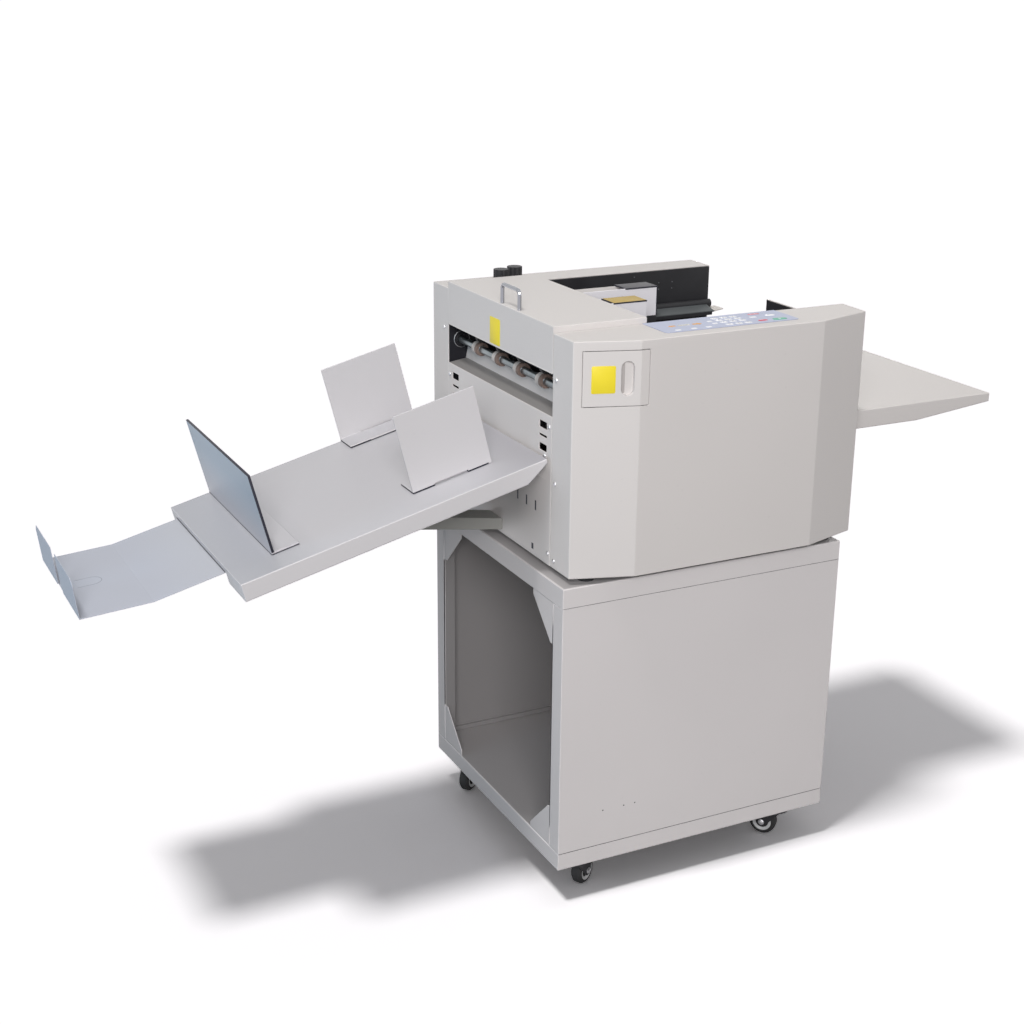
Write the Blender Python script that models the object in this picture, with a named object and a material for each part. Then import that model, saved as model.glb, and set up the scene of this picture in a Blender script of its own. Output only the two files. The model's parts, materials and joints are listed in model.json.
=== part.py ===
"""Paper slitter creaser on a castor stand, built as an assembly of separate pieces.

Metres, +Z up. The sheet travels towards -X. The operator stands at -Y.
"""
import math

import bmesh
import bpy
from mathutils import Matrix, Vector

# Shared values
FIT = 0.0003                 # gap between touching pieces
RUNNING_FIT = 0.0004         # gap round what turns or slides
OVERRUN = 0.002              # how far a cutter passes through a face
MERGE = 0.000001
SMOOTH_ANGLE = math.radians(35)
ROUND_SIDES = 24
WHEEL_SIDES = 32
SMALL_SIDES = 12
ARC_STEPS = 6

# Stand
STAND_LENGTH = 0.546
STAND_DEPTH = 0.504
CASTOR_HEIGHT = 0.066
BASE_HEIGHT = 0.031
PANEL_HEIGHT = 0.450
TOP_FRAME_HEIGHT = 0.0338
STAND_SHEET = 0.002
RAIL_WIDTH = 0.045
POST_WIDTH = 0.033
POST_LIP = 0.022
FLOOR_LEDGE = 0.009
GUSSET_REACH = 0.074
GUSSET_TIP = 0.010
CORNER_PLATE = 0.092
CORNER_PLATE_THICK = 0.003

# Castors
WHEEL_RADIUS = 0.025
WHEEL_WIDTH = 0.020
TYRE_ROUND = 0.004
HUB_RADIUS = 0.0155
HUB_RECESS = 0.0025
AXLE_RADIUS = 0.004
TRAIL = 0.024
CHEEK_THICK = 0.0025
CHEEK_WIDTH = 0.024
CHEEK_EAR = 0.008
FORK_TOP = 0.004
FORK_TOP_RADIUS = 0.021
STEM_RADIUS = 0.006
STEM_HEIGHT = 0.012
WHEEL_CLEARANCE = 0.003
PEDAL_LENGTH = 0.024
PEDAL_THICK = 0.0025
PEDAL_HINGE_RADIUS = 0.0022
PEDAL_LUG_RADIUS = 0.0045
CASTORS = {                  # inset along the stand, inset across it, heading of the wheel
    "front_left": (0.054, 0.036, 32),
    "front_right": (0.070, 0.036, 129),
    "rear_left": (0.054, 0.054, 216),
    "rear_right": (0.060, 0.046, 250),
}

# Machine body
FOOT_HEIGHT = 0.0106
FOOT_RADIUS = 0.014
FOOT_INSET = 0.040
FOOT_RAIL_GAP = 0.002
BASE_OVERHANG = 0.014
BODY_LEFT = 0.017            # delivery end face, from the stand's delivery end
BODY_OVERHANG = 0.003        # machine body, longer than the stand
FRAME_FRONT = 0.0805         # inner face of the front side frame, from the stand's front
FRAME_REAR_INSET = 0.020     # inner face of the rear side frame, in from the stand's rear
FRAME_THICK = 0.003
BASE_THICK = 0.003
COVER_HEIGHT = 0.3904
COVER_SHEET = 0.0025
COVER_OVERHANG = 0.010
COVER_CORNER_SETBACK = 0.003
COVER_CORNER_Y = 0.0140
COVER_BELLY_Y = -0.0191
COVER_KNEE_LEFT = 0.103
COVER_KNEE_INSET = 0.111
SHELL_SHEET = 0.002
REAR_COVER_DEPTH = 0.066
REAR_COVER_DROP = 0.0015

# Access door in the front cover
DOOR_LEFT = 0.015
DOOR_WIDTH = 0.103
DOOR_BOTTOM = 0.2862
DOOR_HEIGHT = 0.0880
DOOR_GAP = 0.0008
DOOR_PIN_RADIUS = 0.0008
DOOR_PIN_GAP = 0.0001
DOOR_PIN_INSET = 0.0015
DOOR_PIN_REACH = 0.0030
POCKET_FROM_LEFT = 0.0609
POCKET_WIDTH = 0.0210
POCKET_HEIGHT = 0.056
POCKET_DEPTH = 0.008
POCKET_WALL = 0.0015

# Control panel
PANEL_LEFT = 0.161
PANEL_LENGTH = 0.254
PANEL_DEPTH = 0.074
PANEL_THICK = 0.0008
PANEL_BACK_GAP = 0.0010
PANEL_CORNER = 0.004

# Delivery throat and end plate
THROAT_BOTTOM = 0.2538
THROAT_HEIGHT = 0.0702
END_SHEET = 0.002
LEDGE_DEPTH = 0.034
LEDGE_RISE = 0.005
LIP_DEPTH = 0.004
LIP_RISE = 0.021
HOOK_HOLE_WIDTH = 0.027
HOOK_HOLE_HEIGHT = 0.012
HOOK_SLOT_HEIGHT = 0.0042
HOOK_HOLE_SIDE = 0.0165
HOOK_HOLE_LEVEL = 0.2339
HOOK_SLOT_DROP = 0.0183
HOOK_PITCH = 0.038
VENT_WIDTH = 0.002
VENT_HEIGHT = 0.017
VENT_PITCH = 0.0330
VENT_LEVEL = 0.0895
VENT_COUNT = 10
KEYHOLE_WIDTH = 0.0036
KEYHOLE_HEIGHT = 0.0100
KEYHOLE_SIDE = 0.0620
KEYHOLE_LEVEL = 0.0150

# Hood over the delivery throat
HOOD_LENGTH = 0.170
HOOD_PROUD = 0.0105
HOOD_SKIRT = 0.017
HOOD_FEED_SKIRT = 0.060
HOOD_SIDE_GAP = 0.0005
HINGE_RADIUS = 0.0030
HINGE_LEAF_WIDTH = 0.008
HINGE_LEAF_THICK = 0.0012
HINGE_END_GAP = 0.012
BAIL_SPAN = 0.0635
BAIL_HEIGHT = 0.036
BAIL_RADIUS = 0.0035
BAIL_CORNER = 0.008
BAIL_INSET = 0.0055
BAIL_SHIFT = -0.03925

# Adjusting knobs on the rear cover
KNOB_RADIUS = 0.0140
KNOB_HEIGHT = 0.0200
KNOB_RIBS = 16
KNOB_RIB_DEPTH = 0.0009
KNOB_STEM_RADIUS = 0.004
KNOB_STEM_LENGTH = 0.014
KNOB_PLACES = {"adjust_knob_1": (0.118, 0.028), "adjust_knob_2": (0.1525, 0.0425)}

# Rollers and tools in the paper path
SHAFT_RADIUS = 0.0045
EXIT_IN = 0.0245             # exit shafts, in from the end face
EXIT_LEVEL = 0.2942          # lower exit shaft, above the machine's underside
EXIT_SHAFT_RADIUS = 0.0065
EXIT_ROLLER_RADIUS = 0.0120
TOP_ROLLER_RADIUS = 0.0100
ROLLER_WIDTH = 0.008
COLLAR_RADIUS = 0.0112
COLLAR_WIDTH = 0.013
ROLLER_PITCH = 0.082
ROLLER_COUNT = 4
ROLLER_SHIFT = -0.008
ROLLER_SLOT_GAP = 0.002
PULLEY_RADIUS = 0.014
PULLEY_FLANGE_RADIUS = 0.0168
PULLEY_FLANGE_THICK = 0.0015
BELT_WIDTH = 0.010
BELT_THICK = 0.002
BELT_STAND_OFF = 0.0035
SHAFT_STUB = 0.0045
SLITTER_IN = 0.076
SLITTER_SHAFT_RADIUS = 0.006
BLADE_RADIUS = 0.022
BLADE_THICK = 0.003
BLADE_OVERLAP = 0.003
BLADE_SPREAD = 0.210
CREASE_IN = 0.118
CREASE_BAR_THICK = 0.010
CREASE_BAR_HEIGHT = 0.034
CREASE_EDGE_THICK = 0.0016
CREASE_EDGE_HEIGHT = 0.006
CREASE_GAP = 0.0035
ANVIL_THICK = 0.024
ANVIL_HEIGHT = 0.020
ANVIL_GROOVE_WIDTH = 0.0030
ANVIL_GROOVE_DEPTH = 0.0040
DECK_LEVEL = 0.3086
DECK_START = 0.133
DECK_LENGTH = 0.245
DECK_SHEET = 0.002
DECK_SKIRT = 0.014
FEED_IN = 0.155
FEED_ROLLER_RADIUS = 0.0125
FEED_ROLLER_WIDTH = 0.036
FEED_ROLLER_PROUD = 0.0008
FEED_ROLLER_SPREAD = 0.070
SEPARATOR_GAP = 0.0012
SEPARATOR_HEIGHT = 0.026
SEPARATOR_THICK = 0.014
SEPARATOR_NOSE = 0.060

# Drive, power supply and electronics
MOTOR_RADIUS = 0.030
MOTOR_LENGTH = 0.072
MOTOR_IN = 0.138
MOTOR_LEVEL = 0.125
MOTOR_FLANGE = 0.004
MOTOR_FLANGE_RADIUS = 0.034
MOTOR_SHAFT_RADIUS = 0.004
SUPPLY_LENGTH = 0.150
SUPPLY_DEPTH = 0.095
SUPPLY_HEIGHT = 0.045
SUPPLY_IN = 0.300
BOARD_LENGTH = 0.170
BOARD_HEIGHT = 0.110
BOARD_THICK = 0.0016
BOARD_IN = 0.235
BOARD_LEVEL = 0.120
BOARD_STAND_OFF = 0.008
BOARD_POST_RADIUS = 0.003
BOARD_POST_INSET = 0.008
INLET_LEVEL = 0.055
INLET_HEIGHT = 0.047
INLET_WIDTH = 0.028
INLET_DEPTH = 0.024
INLET_FLANGE = 0.005
INLET_FLANGE_THICK = 0.0025
SOCKET_WIDTH = 0.020
SOCKET_HEIGHT = 0.0155
SOCKET_DEPTH = 0.016
SOCKET_SHIFT = 0.0115
ROCKER_WIDTH = 0.012
ROCKER_HEIGHT = 0.014
ROCKER_DEPTH = 0.007
ROCKER_SHIFT = 0.0125
ROCKER_GAP = 0.0015
ROCKER_PIN_RADIUS = 0.0012
ROCKER_TILT = math.radians(9)

# Feed well
LINER_THICK = 0.0027
LINER_HEIGHT = 0.077
LINER_START = 0.178
NOSE_START = 0.404
NOSE_RADIUS = 0.008
SHELF_START = 0.404
SHELF_LENGTH = 0.162
SHELF_DEPTH = 0.043
SHELF_SHEET = 0.002
SHELF_LIP = 0.007
SHELF_CHAMFER_LENGTH = 0.034
SHELF_CHAMFER_DEPTH = 0.014
SHELF_UPRIGHT = 0.052
GUIDE_TOP_DROP = 0.0020
GUIDE_SHEET = 0.0020
GUIDE_START = 0.178
GUIDE_FOOT = 0.022
FEED_GUIDES = {
    "feed_guide_front": {"shift": -0.03375, "end": 0.2700, "flange_start": 0.204, "flange_depth": 0.043},
    "feed_guide_rear": {"shift": 0.06775, "end": 0.3520, "flange_start": 0.286, "flange_depth": 0.040},
}

# Feed table
TABLE_LEVEL = 0.1974
TABLE_SHEET = 0.002
TABLE_FRONT_REACH = 0.0097
TABLE_REAR_REACH = 0.0093
TABLE_LENGTH = 0.3359
TABLE_START_GAP = 0.006
TABLE_RIM = 0.0158
TABLE_DEEP_RIM = 0.0330
TABLE_KINK = 0.166
TONGUE_LENGTH = 0.160
TONGUE_RIM = 0.030
FEED_STOP_IN = 0.0530
FEED_STOP_WIDTH = 0.212
STOP_FOOT = 0.040
MAGNET_THICK = 0.0015

# Delivery tray
TRAY_ANGLE = math.radians(14.285)
TRAY_STAND_OFF = 0.0062
TRAY_LEVEL = 0.1847
TRAY_LENGTH = 0.532
TRAY_SIDE_GAP = 0.00225
TRAY_SHEET = 0.002
TRAY_SKIRT = 0.030
TRAY_NOSE = 0.007
TRAY_SLANT = 0.042
TAB_WIDTH = 0.022
TAB_THICK = 0.0015
TAB_REACH = 0.014
EXT_FRONT_INSET = 0.08875
EXT_REAR_INSET = 0.03125
EXT_DROP = 0.0115
EXT_SHEET = 0.0012
EXT_INSIDE = 0.190
EXT_OUTSIDE = 0.117
EXT_END_LENGTH = 0.113
EXT_END_ANGLE = math.radians(4.5)
EXT_FLAP_GAP = 0.032
EXT_FLAP_HEIGHT = 0.0645
EXT_FLAP_LEAN = math.radians(7)
EXT_FLAP_CHAMFER = 0.012
EXT_NOTCH_RADIUS = 0.022
RUNNER_WIDTH = 0.012
RUNNER_LIP = 0.006
RUNNER_FLOOR = 0.002
RAIL_AT = 0.318
RAIL_DEPTH = 0.014
RAIL_GAP = 0.0008
PLATE_HEIGHT = 0.1365
PLATE_SHEET = 0.0025
END_STOP_AT = 0.461
END_STOP_SHEET = 0.0034
END_STOP_FOOT = 0.046
END_STOP_FRONT_INSET = 0.05625
END_STOP_REAR_INSET = 0.00175
SIDE_PLATE_START = 0.068
SIDE_PLATE_LENGTH = 0.143
SIDE_PLATE_FOOT = 0.051
SIDE_SLOT_START = 0.039
SIDE_SLOT_LENGTH = 0.061
SIDE_SLOT_WIDTH = 0.003
SIDE_FRONT_INSET = 0.06775
SIDE_REAR_INSET = 0.00075
ARM_WIDTH = 0.049
ARM_HEIGHT = 0.020
ARM_SHEET = 0.002
ARM_LEVEL = 0.0170

# Places worked out from the values above
STAND_TOP_OF_BASE = CASTOR_HEIGHT + BASE_HEIGHT
FRAME_BOTTOM = STAND_TOP_OF_BASE + PANEL_HEIGHT
STAND_TOP = FRAME_BOTTOM + TOP_FRAME_HEIGHT
MACHINE_BOTTOM = STAND_TOP + FOOT_HEIGHT
COVER_TOP = MACHINE_BOTTOM + COVER_HEIGHT
HOOD_TOP = COVER_TOP + HOOD_PROUD
REAR_TOP = COVER_TOP - REAR_COVER_DROP
THROAT_LOW = MACHINE_BOTTOM + THROAT_BOTTOM
THROAT_TOP = THROAT_LOW + THROAT_HEIGHT
BODY_LENGTH = STAND_LENGTH + BODY_OVERHANG
BODY_RIGHT = BODY_LEFT + BODY_LENGTH
FRAME_TOP = REAR_TOP - SHELL_SHEET - FIT
FRAME_LOW = MACHINE_BOTTOM + BASE_THICK + FIT
DECK_TOP = MACHINE_BOTTOM + DECK_LEVEL
TABLE_TOP = MACHINE_BOTTOM + TABLE_LEVEL
FRAME_REAR = STAND_DEPTH - FRAME_REAR_INSET
REAR_BACK = FRAME_REAR + REAR_COVER_DEPTH
PATH_CENTRE = (FRAME_FRONT + FRAME_REAR) / 2
COVER_BACK_LENGTH = BODY_LENGTH + COVER_OVERHANG
COVER_RIGHT_LENGTH = COVER_BACK_LENGTH - COVER_CORNER_SETBACK
COVER_KNEE_RIGHT = COVER_BACK_LENGTH - COVER_KNEE_INSET
BAIL_CENTRE_Y = PATH_CENTRE + BAIL_SHIFT

EXIT_X = BODY_LEFT + EXIT_IN
EXIT_LOW_Z = MACHINE_BOTTOM + EXIT_LEVEL
EXIT_NIP_Z = EXIT_LOW_Z + EXIT_ROLLER_RADIUS + FIT / 2
EXIT_TOP_Z = EXIT_NIP_Z + TOP_ROLLER_RADIUS + FIT / 2
FEED_X = BODY_LEFT + FEED_IN
PATH_SLOPE = (DECK_TOP - EXIT_NIP_Z) / (FEED_X - EXIT_X)
SLITTER_X = BODY_LEFT + SLITTER_IN
CREASE_X = BODY_LEFT + CREASE_IN
MOTOR_X = BODY_LEFT + MOTOR_IN
MOTOR_Z = MACHINE_BOTTOM + MOTOR_LEVEL

TRAY_X = BODY_LEFT - TRAY_STAND_OFF
TRAY_Z = MACHINE_BOTTOM + TRAY_LEVEL
TRAY_FRONT = FRAME_FRONT + TRAY_SIDE_GAP
TRAY_REAR = FRAME_REAR - TRAY_SIDE_GAP
EXT_FRONT = TRAY_FRONT + EXT_FRONT_INSET
EXT_WIDTH = TRAY_REAR - EXT_REAR_INSET - EXT_FRONT
END_STOP_FRONT = TRAY_FRONT + END_STOP_FRONT_INSET
END_STOP_REAR = TRAY_REAR - END_STOP_REAR_INSET
SIDE_FRONT_FACE = TRAY_FRONT + SIDE_FRONT_INSET
SIDE_REAR_FACE = TRAY_REAR - SIDE_REAR_INSET

TABLE_START = BODY_LEFT + COVER_BACK_LENGTH + TABLE_START_GAP
TABLE_END = TABLE_START + TABLE_LENGTH
TABLE_FRONT = FRAME_FRONT - TABLE_FRONT_REACH
TABLE_REAR = FRAME_REAR + TABLE_REAR_REACH
FEED_STOP_X = TABLE_START + FEED_STOP_IN

MATERIALS = {
    "light_paint": ((0.62, 0.60, 0.59), 0.45, 0.0),
    "stand_paint": ((0.58, 0.56, 0.55), 0.48, 0.0),
    "tray_paint": ((0.60, 0.59, 0.60), 0.42, 0.0),
    "black_plastic": ((0.020, 0.020, 0.022), 0.50, 0.0),
    "black_sheet": ((0.022, 0.022, 0.025), 0.60, 0.3),
    "steel": ((0.62, 0.62, 0.63), 0.30, 1.0),
    "chrome": ((0.80, 0.80, 0.82), 0.10, 1.0),
    "rubber": ((0.025, 0.024, 0.023), 0.80, 0.0),
    "overlay": ((0.50, 0.58, 0.80), 0.35, 0.0),
    "board_green": ((0.03, 0.16, 0.07), 0.45, 0.0),
}


def clear_scene():
    for item in list(bpy.data.objects):
        bpy.data.objects.remove(item)


def material(name):
    found = bpy.data.materials.get(name)
    if found:
        return found
    colour, roughness, metallic = MATERIALS[name]
    made = bpy.data.materials.new(name)
    made.use_nodes = True
    shader = made.node_tree.nodes["Principled BSDF"]
    shader.inputs["Base Color"].default_value = (*colour, 1)
    shader.inputs["Roughness"].default_value = roughness
    shader.inputs["Metallic"].default_value = metallic
    made.diffuse_color = (*colour, 1)
    return made


def spot(axis, u, v, w):
    """A point from two sizes across an axis and one along it."""
    return {"X": Vector((w, u, v)), "Y": Vector((u, w, v)), "Z": Vector((u, v, w))}[axis]


def from_bmesh(bm):
    bmesh.ops.remove_doubles(bm, verts=bm.verts, dist=MERGE)
    bmesh.ops.recalc_face_normals(bm, faces=bm.faces)
    mesh = bpy.data.meshes.new("shape")
    bm.to_mesh(mesh)
    bm.free()
    made = bpy.data.objects.new("shape", mesh)
    bpy.context.scene.collection.objects.link(made)
    return made


def prism(axis, outline, start, end):
    """A flat outline pushed along an axis."""
    bm = bmesh.new()
    face = bm.faces.new([bm.verts.new(spot(axis, u, v, start)) for u, v in outline])
    grown = bmesh.ops.extrude_face_region(bm, geom=[face])
    moved = [item for item in grown["geom"] if isinstance(item, bmesh.types.BMVert)]
    bmesh.ops.translate(bm, verts=moved, vec=spot(axis, 0, 0, end - start))
    return from_bmesh(bm)


def block(low, high):
    """A box between two corners."""
    outline = [(low[0], low[1]), (high[0], low[1]), (high[0], high[1]), (low[0], high[1])]
    return prism("Z", outline, low[2], high[2])


def arc(centre, radius, start, end, steps):
    angles = [math.radians(start + (end - start) * step / steps) for step in range(steps + 1)]
    return [(centre[0] + radius * math.cos(a), centre[1] + radius * math.sin(a)) for a in angles]


def circle(centre, radius, sides):
    turn = 180 / sides
    return arc(centre, radius, turn, 360 + turn, sides)[:-1]


def rod(axis, centre, radius, start, end, sides=ROUND_SIDES):
    return prism(axis, circle(centre, radius, sides), start, end)


def turned(axis, centre, profile, sides=ROUND_SIDES):
    """A solid of revolution from (place along the axis, radius) pairs."""
    bm = bmesh.new()
    points = [(profile[0][0], 0)] + list(profile) + [(profile[-1][0], 0)]
    verts = [bm.verts.new(spot(axis, centre[0] + radius, centre[1], along)) for along, radius in points]
    edges = [bm.edges.new(pair) for pair in zip(verts, verts[1:])]
    bmesh.ops.spin(bm, geom=verts + edges, cent=spot(axis, centre[0], centre[1], 0),
                   axis=spot(axis, 0, 0, 1), angle=2 * math.pi, steps=sides, use_merge=True)
    return from_bmesh(bm)


def strip(points, thickness):
    """The outline of a folded sheet: its outer line, and the line one thickness to its left."""
    inner = []
    for index, point in enumerate(points):
        here = Vector(point)
        before = (here - Vector(points[index - 1])).normalized() if index else None
        after = (Vector(points[index + 1]) - here).normalized() if index + 1 < len(points) else None
        before = before or after
        after = after or before
        left_before = Vector((-before.y, before.x))
        left_after = Vector((-after.y, after.x))
        middle = (left_before + left_after).normalized()
        inner.append(tuple(here + middle * (thickness / middle.dot(left_before))))
    return list(points) + inner[::-1]


def oblong(centre, width, height):
    """A slot outline with round ends, its long side along the second size."""
    radius = width / 2
    reach = height / 2 - radius
    top = arc((centre[0], centre[1] + reach), radius, 0, 180, ARC_STEPS)
    bottom = arc((centre[0], centre[1] - reach), radius, 180, 360, ARC_STEPS)
    return top + bottom


def combine(base, tools, operation):
    for tool in tools:
        modifier = base.modifiers.new("Boolean", "BOOLEAN")
        modifier.operation = operation
        modifier.solver = "EXACT"
        modifier.object = tool
    bpy.context.view_layer.update()
    evaluated = base.evaluated_get(bpy.context.evaluated_depsgraph_get())
    mesh = bpy.data.meshes.new_from_object(evaluated)
    base.modifiers.clear()
    bm = bmesh.new()
    bm.from_mesh(mesh)
    bmesh.ops.remove_doubles(bm, verts=bm.verts, dist=MERGE)
    bmesh.ops.dissolve_degenerate(bm, edges=bm.edges, dist=MERGE)
    bm.to_mesh(mesh)
    bm.free()
    base.data = mesh
    for tool in tools:
        bpy.data.objects.remove(tool)
    return base


def fuse(base, *tools):
    return combine(base, tools, "UNION")


def cut(base, *tools):
    return combine(base, tools, "DIFFERENCE")


def common(base, *tools):
    return combine(base, tools, "INTERSECT")


def axis_at(name, place, parent, turn=None):
    """An empty that stands on a joint's axis and carries what moves about it."""
    made = bpy.data.objects.new(name, None)
    bpy.context.scene.collection.objects.link(made)
    made.location = place
    if turn:
        made.rotation_euler = turn
    if parent:
        hang(made, parent)
    return made


def hang(item, parent):
    """Parents an item without moving it."""
    bpy.context.view_layer.update()
    item.parent = parent
    item.matrix_parent_inverse = parent.matrix_world.inverted()


def dress(name, shape, look):
    shape.name = name
    shape.data.name = name
    shape.data.materials.clear()
    shape.data.materials.append(material(look))
    shape.data.shade_smooth()
    shape.data.set_sharp_from_angle(angle=SMOOTH_ANGLE)
    return shape


def piece(name, shape, look, parent):
    """A finished piece, modelled where it stands."""
    hang(dress(name, shape, look), parent)


def local_piece(name, shape, look, parent):
    """A finished piece, modelled in its parent's own frame."""
    dress(name, shape, look).parent = parent


def path_level(x):
    """Height of the sheet's path at a place along the machine."""
    return EXIT_NIP_Z + PATH_SLOPE * (x - EXIT_X)


# Stand

def make_stand_panel(name, rear, parent):
    """A panel with its ends folded into posts, and a gusset welded in each corner."""
    length, depth = STAND_LENGTH, STAND_DEPTH
    plan = [(POST_LIP, POST_WIDTH), (0, POST_WIDTH), (0, 0), (length, 0), (length, POST_WIDTH),
            (length - POST_LIP, POST_WIDTH)]
    low = STAND_TOP_OF_BASE + FIT
    high = FRAME_BOTTOM - FIT
    outline = strip(plan, STAND_SHEET)
    shape = prism("Z", flip_plan(outline, rear), low, high)
    root_y = POST_WIDTH - 2 * STAND_SHEET
    tip_y = POST_WIDTH + GUSSET_REACH
    gussets = []
    for start in (STAND_SHEET / 2, length - 3 * STAND_SHEET / 2):
        for floor, up in ((low, 1), (high, -1)):
            corner = [(root_y, floor), (tip_y, floor), (tip_y, floor + up * GUSSET_TIP),
                      (POST_WIDTH + GUSSET_TIP, floor + up * GUSSET_REACH),
                      (root_y, floor + up * GUSSET_REACH)]
            if rear:
                corner = [(depth - y, z) for y, z in corner]
            gussets.append(prism("X", corner, start, start + STAND_SHEET))
    if rear:
        gussets.append(block((POST_LIP, depth - FLOOR_LEDGE, low),
                             (length - POST_LIP, depth - STAND_SHEET / 2, low + FLOOR_LEDGE)))
    piece(name, fuse(shape, *gussets), "stand_paint", parent)


def flip_plan(outline, rear):
    if not rear:
        return outline
    return [(x, STAND_DEPTH - y) for x, y in outline]


def castor_places():
    """Where each castor's swivel stands on the floor plan."""
    places = {}
    for where, (along, across, heading) in CASTORS.items():
        x = STAND_LENGTH - along if where.endswith("right") else along
        y = STAND_DEPTH - across if where.startswith("rear") else across
        places[where] = (x, y)
    return places


def make_stand_base(parent):
    """An open pan turned upside down, with a plate in each corner for a castor."""
    length, depth = STAND_LENGTH, STAND_DEPTH
    shape = block((0, 0, CASTOR_HEIGHT), (length, depth, STAND_TOP_OF_BASE))
    void = block((STAND_SHEET, STAND_SHEET, CASTOR_HEIGHT - OVERRUN),
                 (length - STAND_SHEET, depth - STAND_SHEET, STAND_TOP_OF_BASE - STAND_SHEET))
    shape = cut(shape, void)
    plates = []
    for left in (STAND_SHEET / 2, length - STAND_SHEET / 2 - CORNER_PLATE):
        for front in (STAND_SHEET / 2, depth - STAND_SHEET / 2 - CORNER_PLATE):
            plates.append(block((left, front, CASTOR_HEIGHT),
                                (left + CORNER_PLATE, front + CORNER_PLATE,
                                 CASTOR_HEIGHT + CORNER_PLATE_THICK)))
    shape = fuse(shape, *plates)
    bores = [rod("Z", place, STEM_RADIUS + RUNNING_FIT, CASTOR_HEIGHT - OVERRUN,
                 CASTOR_HEIGHT + CORNER_PLATE_THICK + OVERRUN)
             for place in castor_places().values()]
    piece("stand_base", cut(shape, *bores), "stand_paint", parent)


def make_stand_top_frame(parent):
    """Four rails round an opening, each with its edge turned down."""
    length, depth = STAND_LENGTH, STAND_DEPTH
    shape = block((0, 0, FRAME_BOTTOM), (length, depth, STAND_TOP))
    void = block((STAND_SHEET, STAND_SHEET, FRAME_BOTTOM - OVERRUN),
                 (length - STAND_SHEET, depth - STAND_SHEET, STAND_TOP - STAND_SHEET))
    opening = block((RAIL_WIDTH, RAIL_WIDTH, FRAME_BOTTOM - OVERRUN),
                    (length - RAIL_WIDTH, depth - RAIL_WIDTH, STAND_TOP + OVERRUN))
    piece("stand_top_frame", cut(shape, void, opening), "stand_paint", parent)


def make_castor_fork(where, swivel, braked):
    """The housing over the wheel, modelled heading along +X with the floor at zero."""
    top = CASTOR_HEIGHT - FIT
    cheek = WHEEL_WIDTH / 2 + RUNNING_FIT
    outer = cheek + CHEEK_THICK
    under = WHEEL_RADIUS * 2 + WHEEL_CLEARANCE
    crown = FORK_TOP_RADIUS - FORK_TOP / 2
    fork = turned("Z", (0, 0), [(under, FORK_TOP_RADIUS), (top - FORK_TOP, FORK_TOP_RADIUS),
                                (top - FORK_TOP, crown), (top, crown), (top, STEM_RADIUS),
                                (top + STEM_HEIGHT, STEM_RADIUS)])
    end = TRAIL + CHEEK_WIDTH / 2
    bridge = block((0, -outer, under), (end, outer, under + FORK_TOP))
    side = [(-CHEEK_WIDTH / 2, under), (TRAIL - CHEEK_EAR, WHEEL_RADIUS - CHEEK_EAR / 2),
            (TRAIL - CHEEK_EAR / 2, WHEEL_RADIUS - CHEEK_EAR),
            (TRAIL + CHEEK_EAR / 2, WHEEL_RADIUS - CHEEK_EAR),
            (TRAIL + CHEEK_EAR, WHEEL_RADIUS - CHEEK_EAR / 2), (end, under),
            (end, under + FORK_TOP), (-CHEEK_WIDTH / 2, under + FORK_TOP)]
    sides = [(-outer, -cheek), (cheek, outer)]
    extras = [bridge] + [prism("Y", side, *reach) for reach in sides]
    bores = [rod("Y", (TRAIL, WHEEL_RADIUS), AXLE_RADIUS + RUNNING_FIT, -outer - OVERRUN, outer + OVERRUN)]
    if braked:
        extras += [rod("Y", pedal_hinge(), PEDAL_LUG_RADIUS, *reach, SMALL_SIDES) for reach in sides]
        bores.append(rod("Y", pedal_hinge(), PEDAL_HINGE_RADIUS + RUNNING_FIT, -outer - OVERRUN,
                         outer + OVERRUN, SMALL_SIDES))
    fork = cut(fuse(fork, *extras), *bores)
    fork.data.transform(Matrix.Translation((0, 0, -CASTOR_HEIGHT)))
    local_piece("castor_fork_" + where, fork, "black_plastic", swivel)


def pedal_hinge():
    """Place of the brake pedal's pin in a castor's own side view."""
    return (TRAIL + (CHEEK_WIDTH + PEDAL_LUG_RADIUS) / 2,
            WHEEL_RADIUS * 2 + WHEEL_CLEARANCE + FORK_TOP / 2)


def make_castor_wheel(where, swivel):
    spin = axis_at("axis_castor_wheel_" + where, (TRAIL, 0, WHEEL_RADIUS - CASTOR_HEIGHT), None)
    spin.parent = swivel
    half = WHEEL_WIDTH / 2
    end = half + RUNNING_FIT + CHEEK_THICK
    rounded = WHEEL_RADIUS - TYRE_ROUND
    dish = half - HUB_RECESS
    profile = [(-end, AXLE_RADIUS), (-dish, AXLE_RADIUS), (-dish, HUB_RADIUS), (-half, HUB_RADIUS),
               (-half, rounded), (-half + TYRE_ROUND, WHEEL_RADIUS), (half - TYRE_ROUND, WHEEL_RADIUS),
               (half, rounded), (half, HUB_RADIUS), (dish, HUB_RADIUS), (dish, AXLE_RADIUS),
               (end, AXLE_RADIUS)]
    wheel = turned("Y", (0, 0), profile, WHEEL_SIDES)
    local_piece("castor_wheel_" + where, wheel, "rubber", spin)


def make_castor_brake(where, swivel):
    x, z = pedal_hinge()
    hinge = axis_at("axis_castor_brake_" + where, (x, 0, z - CASTOR_HEIGHT), None)
    hinge.parent = swivel
    width = WHEEL_WIDTH / 2
    end = width + RUNNING_FIT + CHEEK_THICK
    pin = rod("Y", (0, 0), PEDAL_HINGE_RADIUS, -end, end, SMALL_SIDES)
    start = PEDAL_HINGE_RADIUS / 2
    tread = prism("Y", [(start, -start), (start + PEDAL_THICK, -start), (PEDAL_LENGTH, -PEDAL_THICK),
                        (PEDAL_LENGTH, 0), (start, start)], -width, width)
    local_piece("castor_brake_" + where, fuse(pin, tread), "steel", hinge)


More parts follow.
